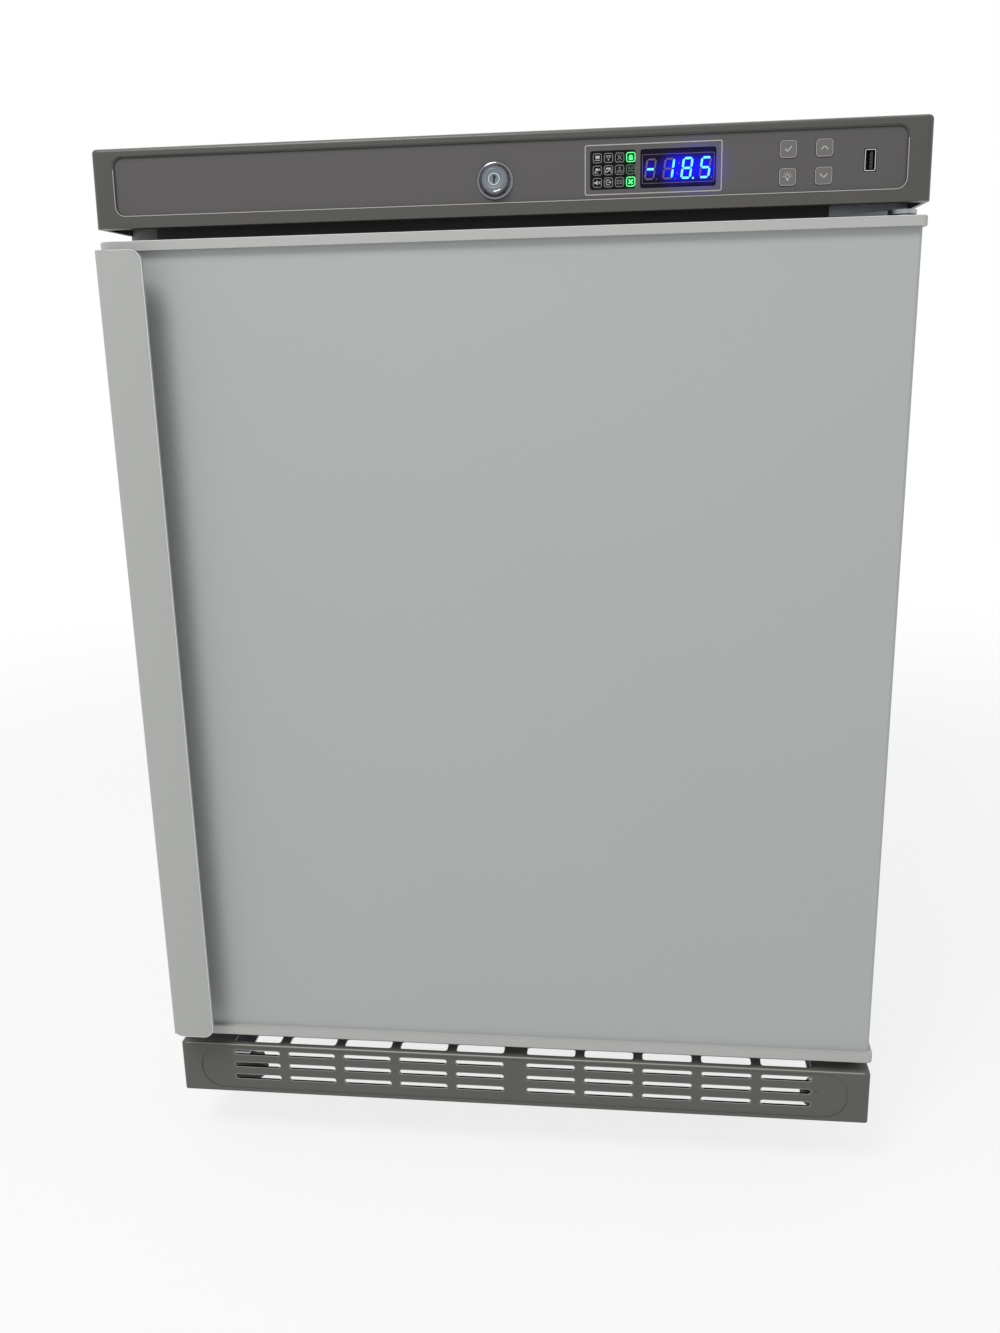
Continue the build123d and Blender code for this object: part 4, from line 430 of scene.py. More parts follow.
def add_painted_glow(material, spots, level):
    """Paints a glow of the lit marks onto what is near them, as emission: soft spots of (across, up,
    reach, colour).
    """
    tree = material.node_tree
    shader = tree.nodes["Principled BSDF"]
    place = object_place(tree)
    total = (0.0, 0.0, 0.0)
    for across, up, reach, colour in spots:
        middle = OVERLAY_FACE @ Vector((across, up, 0.0))
        away = add_node(tree, "VectorMath", {0: place, 1: middle}, operation="DISTANCE")
        near = ramp(tree, away.outputs["Value"], 0.0, reach, low=1.0, high=0.0, ease="SMOOTHERSTEP")
        inputs = {0: total, 1: scaled(tree, colour[:3], near)}
        total = add_node(tree, "VectorMath", inputs, operation="ADD").outputs[0]
    tree.links.new(total, shader.inputs["Emission Color"])
    shader.inputs["Emission Strength"].default_value = level


LIT_BLUE = lit_mark("lit_blue", (36, 150, 255), (130, 240, 255))
LIT_GREEN = lit_mark("lit_green", (0, 236, 92), (120, 255, 168))
# Colours of the painted glow on the glass near the lit marks
PAINTED_GLOW_BLUE = srgb(8, 4, 232)
PAINTED_GLOW_GREEN = srgb(0, 96, 40)


# Shapes: each is a small bmesh, flat ones lie in X-Y and face +Z
SAME_POINT = 0.0001 * MM


def rounded(shape, where, offset, segments, affect):
    """Rounds some corners or edges of a shape."""
    bmesh.ops.bevel(
        shape, geom=where, offset=offset, offset_type="OFFSET", segments=segments, profile=0.5,
        affect=affect, material=-1,
    )


def panel(width, height, radius=0.0, steps=5):
    """A flat rectangle on the origin, its corners rounded."""
    shape = bmesh.new()
    bmesh.ops.create_grid(shape, x_segments=1, y_segments=1, size=0.5)
    shape.transform(Matrix.Diagonal((width, height, 1.0, 1.0)))
    if radius:
        rounded(shape, shape.verts[:], radius, steps, "VERTICES")
    return shape


def disc(radius, steps):
    """A flat disc on the origin."""
    shape = bmesh.new()
    bmesh.ops.create_circle(shape, cap_ends=True, segments=steps, radius=radius)
    return shape


def outline(corners):
    """A flat face through a few corners in millimetres, listed counterclockwise."""
    shape = bmesh.new()
    shape.faces.new([shape.verts.new((x * MM, y * MM, 0.0)) for x, y in corners])
    return shape


def framed(shape, line):
    """Only a line of a flat face, along its edge."""
    middle = shape.faces[:]
    bmesh.ops.inset_region(shape, faces=middle, thickness=line, use_boundary=True, use_even_offset=True)
    bmesh.ops.delete(shape, geom=middle, context="FACES")
    return shape


def raised(shape, height, edge=0.0):
    """A flat face made a solid of a height above the plane, its top edge bevelled."""
    made = bmesh.ops.extrude_face_region(shape, geom=shape.faces[:])["geom"]
    top = [item for item in made if isinstance(item, bmesh.types.BMVert)]
    bmesh.ops.translate(shape, verts=top, vec=(0.0, 0.0, height))
    if edge:
        rim = [item for item in shape.edges if all(end in top for end in item.verts)]
        rounded(shape, rim, edge, 2, "EDGES")
    return shape


def border(width, height, radius, line, lift, steps=5):
    """A raised line round the inside of a rectangle with rounded corners."""
    return raised(framed(panel(width, height, radius, steps), line), lift)


def at(shape, across, up, lift=0.0, turn=0.0):
    """A shape turned about Z and moved."""
    shape.transform(Matrix.Translation((across, up, lift)) @ Matrix.Rotation(turn, 4, "Z"))
    return shape


def cut_off(shape, point, direction):
    """Takes away what of a solid lies past a plane, and closes the cut."""
    whole = shape.verts[:] + shape.edges[:] + shape.faces[:]
    bmesh.ops.bisect_plane(shape, geom=whole, plane_co=point, plane_no=direction, clear_outer=True)
    bmesh.ops.holes_fill(shape, edges=[edge for edge in shape.edges if edge.is_boundary])


def spun(profile, steps, closed):
    """A profile in millimetres, (radius, height), turned about Z."""
    shape = bmesh.new()
    points = [shape.verts.new((radius * MM, 0.0, height * MM)) for radius, height in profile]
    ends = points[1:] + points[:1] if closed else points[1:]
    runs = [shape.edges.new(pair) for pair in zip(points, ends)]
    bmesh.ops.spin(
        shape, geom=points + runs, cent=(0, 0, 0), axis=(0, 0, 1), dvec=(0, 0, 0), angle=tau, steps=steps,
        use_merge=True,
    )
    bmesh.ops.remove_doubles(shape, verts=shape.verts[:], dist=SAME_POINT)
    return shape


def turned(*profile, steps=64):
    """A solid of revolution: both ends of its profile lie on the axis."""
    return spun(profile, steps, closed=False)


def hoop(*profile, steps=64):
    """A closed hoop about Z: its profile is a loop."""
    return spun(profile, steps, closed=True)


def gather(shapes):
    """Several shapes as one."""
    whole = bmesh.new()
    for shape in shapes:
        passing = bpy.data.meshes.new("passing")
        shape.to_mesh(passing)
        shape.free()
        whole.from_mesh(passing)
        bpy.data.meshes.remove(passing)
    return whole


def piece(name, shapes, place, material, body, soft_angle=35.0):
    """A finished piece: its shapes joined and placed, with a finish and a body."""
    whole = gather(shapes)
    whole.transform(place)
    bmesh.ops.recalc_face_normals(whole, faces=whole.faces[:])
    mesh = bpy.data.meshes.new(name)
    whole.to_mesh(mesh)
    whole.free()
    mesh.shade_smooth()
    mesh.set_sharp_from_angle(angle=radians(soft_angle))
    mesh.materials.append(material)
    made = bpy.data.objects.new(name, mesh)
    bpy.context.scene.collection.objects.link(made)
    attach(made, body)


# Strokes and spots of printed marks, in millimetres about the middle of a mark
MARK_LIFT = 0.12 * MM
STROKE = 0.42
BAR_ROUNDING = 0.42
DOT_STEPS = 14
CORNER_STEPS = 3


def bar(start, end, width=STROKE):
    """A thin raised bar from one point to another, its ends rounded."""
    run = (end[0] - start[0], end[1] - start[1])
    length = (hypot(*run) + width) * MM
    shape = raised(panel(length, width * MM, BAR_ROUNDING * width * MM, CORNER_STEPS), MARK_LIFT)
    middle = ((start[0] + end[0]) / 2 * MM, (start[1] + end[1]) / 2 * MM)
    return at(shape, *middle, turn=atan2(run[1], run[0]))


def strokes(points, width=STROKE):
    """Thin bars from point to point."""
    return [bar(start, end, width) for start, end in zip(points, points[1:])]


def ring(across, up, radius, line=0.4, steps=20):
    """A thin ring."""
    shape = raised(framed(disc(radius * MM, steps), line * MM), MARK_LIFT)
    return at(shape, across * MM, up * MM)


def dot(across, up, radius):
    """A small round spot."""
    return at(raised(disc(radius * MM, DOT_STEPS), MARK_LIFT), across * MM, up * MM)


def block(across, up, width, height, radius=0.2):
    """A small filled rectangle."""
    shape = raised(panel(width * MM, height * MM, radius * MM, CORNER_STEPS), MARK_LIFT)
    return at(shape, across * MM, up * MM)


def polar(radius, angle):
    """A point at a distance and an angle in degrees."""
    return radius * cos(radians(angle)), radius * sin(radians(angle))


def arc(across, up, radius, first, last, steps=5, width=0.4):
    """Bars along an arc from one angle to another."""
    points = []
    for step in range(steps + 1):
        x, y = polar(radius, first + (last - first) * step / steps)
        points.append((across + x, up + y))
    return strokes(points, width)


# Icons of the left window
def icon_screen():
    """A screen over a broken line."""
    screen = block(0.15, 0.75, 2.9, 1.9)
    return [screen, *strokes([(-1.6, -1.5), (-0.6, -0.9), (0.6, -1.6), (1.7, -1.2)])]


def icon_waves():
    """Two arcs over a dot."""
    return [*arc(0, -1.1, 2.7, 50, 130), *arc(0, -1.1, 1.7, 45, 135, 4), dot(0, -1.1, 0.5)]


def icon_service():
    """Two crossed tools, a ring where they meet, and a dot above and below."""
    tools = [bar((-1.5, 1.6), (1.5, -1.4)), bar((1.5, 1.6), (-1.5, -1.4))]
    return [*tools, ring(0, 0.1, 0.8), dot(0, 2.0, 0.3), dot(0, -1.9, 0.3)]


def icon_lock():
    """A closed padlock."""
    return [block(0, -0.75, 2.7, 2.2, 0.3), *arc(0, 0.35, 0.9, 0, 180, 6, 0.45)]


def icon_plug():
    """A plug with two pins and its lead."""
    pins = [bar((0.9, 0.9), (1.8, 0.9)), bar((0.9, 0.2), (1.8, 0.2))]
    lead = strokes([(-1.2, -0.1), (-1.7, -1.5), (0.2, -1.6)])
    return [block(-0.4, 0.55, 1.8, 1.7, 0.4), *pins, *lead]


def icon_cabinet():
    """A worktop on two sides, with a stroke between them."""
    sides = [bar((-1.8, 0.3), (-1.8, -1.7)), bar((1.8, 0.3), (1.8, -1.7))]
    return [block(0, 1.15, 3.6, 1.1), *sides, bar((-0.9, -1.2), (0.8, 0.1), 0.6)]


def icon_level():
    """A ring over two level lines."""
    lines = [bar((-1.8, -1.5), (1.8, -1.5), 0.5), bar((-1.8, -0.6), (1.8, -0.6))]
    return [*lines, ring(0, 1.0, 0.9)]


def icon_flake():
    """Four small rings about a dot."""
    rings = [ring(across, up, 0.75, 0.35, 12) for across in (-1.1, 1.1) for up in (-1.1, 1.1)]
    return [*rings, dot(0, 0, 0.35)]


def icon_sound():
    """A loudspeaker beside a cross."""
    horn = raised(outline([(-0.6, 0.6), (-0.6, -0.6), (0.7, -1.6), (0.7, 1.6)]), MARK_LIFT)
    cross = [bar((1.0, 0.7), (2.0, -0.6)), bar((1.0, -0.6), (2.0, 0.7))]
    return [at(horn, -0.5 * MM, 0), block(-1.6, 0, 0.9, 1.2), *cross]


def icon_door():
    """An arrow that points out of a doorway."""
    doorway = strokes([(0.9, 1.5), (-1.5, 1.5), (-1.5, -1.6), (0.9, -1.6)])
    head = strokes([(1.2, 0.7), (1.9, 0), (1.2, -0.7)])
    return [*doorway, bar((-0.4, 0), (1.9, 0)), *head]


def icon_grid():
    """Two rows of four short bars."""
    return [block(across, up, 0.62, 1.2, 0.1) for across in (-1.7, -0.6, 0.6, 1.7) for up in (-0.8, 0.9)]


def icon_fan():
    """A fan with four blades round its hub."""
    blades = []
    for quarter in range(4):
        x, y = polar(1.25, 45 + 90 * quarter)
        blade = raised(panel(1.8 * MM, 0.85 * MM, 0.38 * MM, 4), MARK_LIFT)
        blades.append(at(blade, x * MM, y * MM, turn=radians(90 * quarter + 20)))
    return [*blades, dot(0, 0, 0.45)]


# Display: the line round it
BEZEL_LEFT = 62.8 * MM
BEZEL_RIGHT = 158.3 * MM
BEZEL_LOW = 11.4 * MM
BEZEL_HIGH = 44.85 * MM
BEZEL_RADIUS = 1.6 * MM
BEZEL_LINE = 0.75 * MM
BEZEL_LIFT = 0.25 * MM
bezel = border(BEZEL_RIGHT - BEZEL_LEFT, BEZEL_HIGH - BEZEL_LOW, BEZEL_RADIUS, BEZEL_LINE, BEZEL_LIFT)
at(bezel, (BEZEL_LEFT + BEZEL_RIGHT) / 2, (BEZEL_LOW + BEZEL_HIGH) / 2)
piece("display_bezel", [bezel], OVERLAY_FACE, PALE_PRINT_AND_HIGHLIGHT, "cabinet")

# Display: twelve framed icons in the left window, the last of each row lit or green
WINDOW_UP = 27.95 * MM
ICON_W = 6.3 * MM
ICON_H = 6.4 * MM
ICON_RADIUS = 1.5 * MM
ICON_LINE = 0.45 * MM
ICON_PITCH_ACROSS = 7.8 * MM
ICON_PITCH_DOWN = 8.1 * MM
FIRST_ICON_LEFT = 10.78 * MM
FIRST_ICON_ABOVE = 8.0 * MM
ICON_ROWS = (
    (icon_screen, icon_waves, icon_service, icon_lock),
    (icon_plug, icon_cabinet, icon_level, icon_flake),
    (icon_sound, icon_door, icon_grid, icon_fan),
)
DIM_COLUMN = 2
LIT_COLUMN = 3
GREEN_ROW = 1


def window_middle(node):
    """The place of a window's middle across the fascia."""
    low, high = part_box(node)
    return (low.x + high.x) / 2


def icon_centre(row, column):
    """The middle of an icon, across and up the fascia's face."""
    across = window_middle("icon_window") - FIRST_ICON_LEFT + column * ICON_PITCH_ACROSS
    return across, WINDOW_UP + FIRST_ICON_ABOVE - row * ICON_PITCH_DOWN


dim_icons, pale_icons, lit_icons, green_icons = [], [], [], []
for row, icons in enumerate(ICON_ROWS):
    for column, icon in enumerate(icons):
        centre = icon_centre(row, column)
        edge = at(border(ICON_W, ICON_H, ICON_RADIUS, ICON_LINE, MARK_LIFT), *centre)
        symbol = [at(shape, *centre) for shape in icon()]
        if column < DIM_COLUMN:
            dim_icons.append(edge)
            pale_icons.extend(symbol)
        elif column == DIM_COLUMN:
            dim_icons.extend([edge, *symbol])
        elif row == GREEN_ROW:
            green_icons.extend([edge, *symbol])
        else:
            lit_icons.extend([edge, *symbol])
piece("icons_unlit", dim_icons, OVERLAY_FACE, MARK_GREY, "cabinet")
piece("icons_pale", pale_icons, OVERLAY_FACE, MARK_PALE, "cabinet")
piece("icon_unlit_green", green_icons, OVERLAY_FACE, MARK_GREEN, "cabinet")
piece("icons_lit", lit_icons, OVERLAY_FACE, LIT_GREEN, "cabinet")

# Display: four slanted digits of seven bars in the right window, in millimetres
DIGIT_W = 7.4
DIGIT_H = 14.3
DIGIT_STROKE = 1.45
UNLIT_STROKE = 0.75 * DIGIT_STROKE
DIGIT_SLANT = 0.14
DIGIT_PITCH = 12.65
FIRST_DIGIT_LEFT = 19.2
DIGIT_UP = 27.4
DIGIT_GAP = 0.30
DIGITS_SHOWN = ("g", "bc", "abcdefg", "afgcd")  # a minus, 1, 8 and 5, by the usual letters of the bars
POINT_COLUMN = 2
POINT_RIGHT = 0.6
POINT_ABOVE = 0.4
POINT_LIT_RADIUS = 0.75
POINT_RADIUS = 0.45
COLON_RIGHT = 0.3
COLON_UP = 3.4
COLON_RADIUS = 0.5


def segment(first, last, width):
    """A bar of a digit, pointed at both ends, about the digit's middle."""
    run = (last[0] - first[0], last[1] - first[1])
    half = hypot(*run) / 2 - DIGIT_GAP
    waist = half - width / 2
    high = width / 2
    tips = ((half, 0), (waist, high), (-waist, high), (-half, 0), (-waist, -high), (waist, -high))
    middle = ((first[0] + last[0]) / 2 * MM, (first[1] + last[1]) / 2 * MM)
    return at(raised(outline(tips), MARK_LIFT), *middle, turn=atan2(run[1], run[0]))


def digit_across(column):
    """The place of a digit's middle across the fascia, in metres."""
    return window_middle("digit_window") + (column * DIGIT_PITCH - FIRST_DIGIT_LEFT) * MM


half_w = (DIGIT_W - DIGIT_STROKE) / 2
half_h = (DIGIT_H - DIGIT_STROKE) / 2
segment_ends = {
    "a": ((-half_w, half_h), (half_w, half_h)),
    "b": ((half_w, half_h), (half_w, 0)),
    "c": ((half_w, 0), (half_w, -half_h)),
    "d": ((-half_w, -half_h), (half_w, -half_h)),
    "e": ((-half_w, 0), (-half_w, -half_h)),
    "f": ((-half_w, half_h), (-half_w, 0)),
    "g": ((-half_w, 0), (half_w, 0)),
}
SLANT = Matrix(((1, DIGIT_SLANT, 0, 0), (0, 1, 0, 0), (0, 0, 1, 0), (0, 0, 0, 1)))
lit_segments, unlit_segments = [], []
for column, lit_letters in enumerate(DIGITS_SHOWN):
    centre = (digit_across(column), DIGIT_UP * MM)
    for letter, ends in segment_ends.items():
        is_lit = letter in lit_letters
        mark = segment(*ends, DIGIT_STROKE if is_lit else UNLIT_STROKE)
        mark.transform(SLANT)
        marks = lit_segments if is_lit else unlit_segments
        marks.append(at(mark, *centre))
    has_point = column == POINT_COLUMN
    radius = POINT_LIT_RADIUS if has_point else POINT_RADIUS
    marks = lit_segments if has_point else unlit_segments
    marks.append(at(dot(DIGIT_W / 2 + POINT_RIGHT, POINT_ABOVE - DIGIT_H / 2, radius), *centre))
colon_across = (digit_across(1) + digit_across(2)) / 2 + COLON_RIGHT * MM
for height in (COLON_UP, -COLON_UP):
    spot = dot(DIGIT_SLANT * height, height, COLON_RADIUS)
    unlit_segments.append(at(spot, colon_across, DIGIT_UP * MM))
piece("digits_lit", lit_segments, OVERLAY_FACE, LIT_BLUE, "cabinet")
piece("digits_unlit", unlit_segments, OVERLAY_FACE, SEGMENT_OFF, "cabinet")

# Display: the thin line round the digits
DIGIT_FRAME_W = 50.0 * MM
DIGIT_FRAME_H = 19.3 * MM
DIGIT_FRAME_RADIUS = 0.8 * MM
DIGIT_FRAME_LINE = 0.35 * MM
DIGIT_FRAME_DOWN = 0.35 * MM
digit_frame = border(DIGIT_FRAME_W, DIGIT_FRAME_H, DIGIT_FRAME_RADIUS, DIGIT_FRAME_LINE, MARK_LIFT)
at(digit_frame, window_middle("digit_window"), WINDOW_UP - DIGIT_FRAME_DOWN)
piece("digit_frame", [digit_frame], OVERLAY_FACE, SEGMENT_OFF, "cabinet")

# Display: a painted glow, emission on the glass and the film near the lit marks that stands in for their
# light
MINUS_REACH = 9.0 * MM
MINUS_SHARE = 0.45
DIGIT_REACH = 14.0 * MM
ONE_RIGHT = 3.4 * MM
ICON_REACH = 6.0 * MM
HALO_SPREAD = 1.9
DIGIT_GLOW = 1.2
ICON_GLOW = 1.0
HALO_GLOW = 0.22
GLASS = dict(effect="grain", roughness=0.2, amount=0.10, scale=300.0, relief=2, **DIM_GLASS)
minus_blue = tuple(value * MINUS_SHARE for value in PAINTED_GLOW_BLUE)
digit_spots = [
    (digit_across(0), DIGIT_UP * MM, MINUS_REACH, minus_blue),
    (digit_across(1) + ONE_RIGHT, DIGIT_UP * MM, DIGIT_REACH, PAINTED_GLOW_BLUE),
    (digit_across(2), DIGIT_UP * MM, DIGIT_REACH, PAINTED_GLOW_BLUE),
    (digit_across(3), DIGIT_UP * MM, DIGIT_REACH, PAINTED_GLOW_BLUE),
]
digit_glass = finish("digit_glass", colour=(14, 8, 30), **GLASS)
add_painted_glow(digit_glass, digit_spots, DIGIT_GLOW)
NODES["digit_window"].material_slots[0].material = digit_glass
lit_rows = [row for row in range(len(ICON_ROWS)) if row != GREEN_ROW]
icon_spots = [(*icon_centre(row, LIT_COLUMN), ICON_REACH, PAINTED_GLOW_GREEN) for row in lit_rows]
icon_glass = finish("icon_glass", colour=(13, 12, 15), **GLASS)
add_painted_glow(icon_glass, icon_spots, ICON_GLOW)
NODES["icon_window"].material_slots[0].material = icon_glass
halo = [(across, up, HALO_SPREAD * reach, colour) for across, up, reach, colour in digit_spots[2:]]
add_painted_glow(FINISHES["overlay_film"], halo, HALO_GLOW)

# Painted highlight: a pale line round the lower edge and the sides of the fascia's recess, where its
# bevel would catch the light; its top is cut away
RECESS_MARGIN = 17.0 * MM
RECESS_H = 40.2 * MM
RECESS_UP = 29.0 * MM
RECESS_RADIUS = 7.3 * MM
RECESS_LIP = 0.8 * MM
RECESS_LINE = 0.55 * MM
RECESS_LIFT = 0.12 * MM
RECESS_SUNK = 0.08 * MM
RECESS_CUT = 12.0 * MM
recess_w = 2 * (FASCIA_HIGH.x - RECESS_MARGIN + RECESS_LIP)
recess_highlight = border(recess_w, RECESS_H + 2 * RECESS_LIP, RECESS_RADIUS, RECESS_LINE, RECESS_LIFT)
cut_off(at(recess_highlight, 0.0, RECESS_UP), (0.0, RECESS_UP + RECESS_CUT, 0.0), (0.0, 1.0, 0.0))
RECESS_FACE = FASCIA_FACE @ Matrix.Translation((0.0, 0.0, -RECESS_SUNK))
piece("recess_highlight", [recess_highlight], RECESS_FACE, PALE_PRINT_AND_HIGHLIGHT, "cabinet")

# Kick grille: a painted highlight round each slot's rim, and a pale plate on each slot's lower wall, a
# painted highlight where it would catch the light
GRILLE_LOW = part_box("kick_grille")[0]
PANEL_STEP = 0.8 * MM
SLOTS_A_SIDE = 5
SLOT_LENGTH = 42.0 * MM
SLOT_H = 4.4 * MM
SLOT_PITCH_ACROSS = 50.0 * MM
SLOT_PITCH_UP = 12.1 * MM
SLOT_MIDDLE = 26.9 * MM
FIRST_SLOT = 31.0 * MM
LIP = 0.5 * MM
LIP_LIFT = 0.15 * MM
LIP_ROUNDING = 0.499
WALL_DEPTH = 1.8 * MM
WALL_THICK = 0.08 * MM
WALL_ABOVE = 0.06 * MM
WALL_BEHIND = 0.1 * MM
GRILLE_FACE = face_plane((0.0, GRILLE_LOW.y + PANEL_STEP, GRILLE_LOW.z), FRONT)
lip_length = SLOT_LENGTH + 2 * LIP
lip_height = SLOT_H + 2 * LIP
lips, walls = [], []
for side in (-1, 1):
    for column in range(SLOTS_A_SIDE):
        for row in (-1, 0, 1):
            across = side * (FIRST_SLOT + column * SLOT_PITCH_ACROSS)
            up = SLOT_MIDDLE + row * SLOT_PITCH_UP
            lip = border(lip_length, lip_height, LIP_ROUNDING * lip_height, LIP, LIP_LIFT, steps=6)
            lips.append(at(lip, across, up))
            wall = panel(SLOT_LENGTH - SLOT_H, WALL_DEPTH)
            wall.transform(Matrix.Rotation(-pi / 2, 4, "X"))
            bmesh.ops.solidify(wall, geom=wall.faces[:], thickness=WALL_THICK)
            walls.append(at(wall, across, up - SLOT_H / 2 + WALL_ABOVE, -WALL_DEPTH / 2 - WALL_BEHIND))
piece("grille_slot_highlights", lips, GRILLE_FACE, HIGHLIGHT_GREY, "cabinet")
piece("grille_wall_highlights", walls, GRILLE_FACE, WALL_HIGHLIGHT, "cabinet")

# Painted highlights: thin pale lines on edges where moulded and folded parts would catch the light
EDGE_LIFT = 0.12 * MM
EDGE_ROUNDING = 0.45
EDGE_LEAN = 45.0


def highlight_line(name, node, body, material, down, behind, width, margin):
    """A painted highlight: a thin rounded pale line along X on a node's upper front edge, facing up and
    forward.
    """
    low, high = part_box(node)
    length = high.x - low.x - 2 * margin
    line = raised(panel(length, width, EDGE_ROUNDING * width, 4), EDGE_LIFT)
    line.transform(Matrix.Rotation(radians(EDGE_LEAN), 4, "X"))
    place = Matrix.Translation(((low.x + high.x) / 2, low.y + behind, high.z - down))
    piece(name, [line], place, material, body)


highlight_line(
    "top_cap_highlight", "door_top_cap", "door", HIGHLIGHT_BRIGHT,
    down=0.35 * MM, behind=0.35 * MM, width=0.9 * MM, margin=4.0 * MM,
)
highlight_line(
    "grille_highlight", "kick_grille", "cabinet", HIGHLIGHT_GREY,
    down=0.72 * MM, behind=0.72 * MM, width=0.9 * MM, margin=5.0 * MM,
)
highlight_line(
    "fascia_highlight", "control_fascia", "cabinet", HIGHLIGHT_GREY,
    down=0.9 * MM, behind=3.5 * MM, width=1.1 * MM, margin=6.0 * MM,
)

# The handle's painted highlight: a pale line round its front face, but for the outer side at the left
HANDLE_LOW, HANDLE_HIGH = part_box("door_handle")
HANDLE_RADIUS = 9.0 * MM
HANDLE_LINE = 0.55 * MM
HANDLE_LIFT = 0.06 * MM
HANDLE_SUNK = 0.03 * MM
HANDLE_END = 1.0 * MM
handle_w = HANDLE_HIGH.x - HANDLE_LOW.x
handle_h = HANDLE_HIGH.z - HANDLE_LOW.z
handle_highlight = border(handle_w, handle_h, HANDLE_RADIUS, HANDLE_LINE, HANDLE_LIFT, steps=8)
cut_off(handle_highlight, (HANDLE_RADIUS + HANDLE_END - handle_w / 2, 0.0, 0.0), (-1.0, 0.0, 0.0))
handle_middle = (HANDLE_LOW + HANDLE_HIGH) / 2
HANDLE_FACE = face_plane((handle_middle.x, HANDLE_LOW.y + HANDLE_SUNK, handle_middle.z), FRONT)
piece("handle_highlight", [handle_highlight], HANDLE_FACE, HIGHLIGHT_BRIGHT, "door")

# Keys: a rim round each, and its sign
KEY_SIZE = 11.5 * MM
KEY_INSET = 0.05 * MM
KEY_RADIUS = 2.3 * MM
KEY_LINE = 0.35 * MM
KEY_RIM_LIFT = 0.12 * MM
KEY_PROUD = 0.5 * MM
KEY_ROW_HIGH = 37.0 * MM
KEY_ROW_LOW = 18.9 * MM
SIGN_STROKE = 0.75
RAY_ANGLES = (10, 50, 90, 130, 170)
KEY_FACE = OVERLAY_FACE @ Matrix.Translation((0.0, 0.0, KEY_PROUD))


def sign_check():
    """A tick."""
    return strokes([(-2.0, 0.0), (-0.6, -1.5), (2.1, 1.6)], SIGN_STROKE)


def sign_up():
    """A chevron that points up."""
    return strokes([(-2.2, -1.0), (0.0, 1.2), (2.2, -1.0)], SIGN_STROKE)


def sign_down():
    """A chevron that points down."""
    return strokes([(-2.2, 1.0), (0.0, -1.2), (2.2, 1.0)], SIGN_STROKE)


def sign_lamp():
    """A bulb with its rays."""
    rays = [bar(polar(2.4, angle), polar(3.2, angle)) for angle in RAY_ANGLES]
    return [ring(0, 0.2, 1.55, 0.45), block(0, -1.9, 1.5, 0.9), *rays]


def key_marks(name, sign, up):
    """The rim and the sign of one key, which move with it."""
    key = "button_" + name
    low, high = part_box(key)
    across = (low.x + high.x) / 2
    size = KEY_SIZE - 2 * KEY_INSET
    rim = at(border(size, size, KEY_RADIUS, KEY_LINE, KEY_RIM_LIFT), across, up)
    piece(name + "_rim", [rim], KEY_FACE, PALE_PRINT_AND_HIGHLIGHT, key)
    marks = [at(shape, across, up) for shape in sign()]
    piece(name + "_sign", marks, KEY_FACE, MARK_PALE, key)


key_marks("confirm", sign_check, KEY_ROW_HIGH)
key_marks("up", sign_up, KEY_ROW_HIGH)
key_marks("lamp", sign_lamp, KEY_ROW_LOW)
key_marks("down", sign_down, KEY_ROW_LOW)

# Lock: a faceted collar, a bright rim, a dished face, and the keyway as raised near-black bars, painted
# shade in place of a slot
LOCK_ACROSS = -1.0 * MM
LOCK_UP = 23.8 * MM
LOCK_PROUD = 4.0 * MM
FACETS = 14
FACET_SHARP = 8.0
KEYWAY_W = 1.4 * MM
KEYWAY_H = 6.0 * MM
KEYWAY_RADIUS = 0.6 * MM
KEYWAY_LIFT = 0.1 * MM
STEP_W = 1.1 * MM
STEP_H = 1.5 * MM
STEP_RADIUS = 0.3 * MM
STEP_RIGHT = 0.8 * MM
STEP_ABOVE = 1.2 * MM
LOCK_FACE = FASCIA_FACE @ Matrix.Translation((LOCK_ACROSS, LOCK_UP, LOCK_PROUD))
collar = hoop((8.9, -5.95), (13.2, -5.95), (13.2, -5.4), (12.6, -4.7), (11.6, -4.3), (8.9, -4.3))
piece("lock_collar", [collar], LOCK_FACE, DARK_CHROME, "cabinet")
facets = hoop((8.9, -4.4), (11.5, -4.4), (11.3, -3.8), (9.5, -1.2), (8.9, -1.0), steps=FACETS)
piece("lock_facets", [facets], LOCK_FACE, DARK_CHROME, "cabinet", FACET_SHARP)
lock_rim = hoop((7.8, -0.3), (9.1, -1.1), (9.35, -0.4), (8.7, 0.3), (8.3, 0.35), (7.8, 0.1))
piece("lock_rim", [lock_rim], LOCK_FACE, DARK_CHROME, "cabinet")
dish = turned((0.0, -0.3), (7.6, -0.3), (7.6, 0.2), (7.2, 0.5), (5.4, 0.5), (4.2, 0.12), (0.0, 0.12))
piece("lock_dish", [dish], LOCK_FACE, BRUSHED, "lock")
plug_ring = hoop((3.4, 0.05), (4.3, 0.05), (4.1, 0.9), (3.5, 0.9), steps=48)
piece("lock_plug_ring", [plug_ring], LOCK_FACE, POLISHED, "lock")
keyway = raised(panel(KEYWAY_W, KEYWAY_H, KEYWAY_RADIUS), KEYWAY_LIFT)
at(keyway, 0.0, 0.0, KEYWAY_LIFT)
keyway_step = raised(panel(STEP_W, STEP_H, STEP_RADIUS), KEYWAY_LIFT)
at(keyway_step, STEP_RIGHT, STEP_ABOVE, KEYWAY_LIFT)
piece("lock_keyway_shade", [keyway, keyway_step], LOCK_FACE, PAINTED_SHADE_BLACK, "lock")

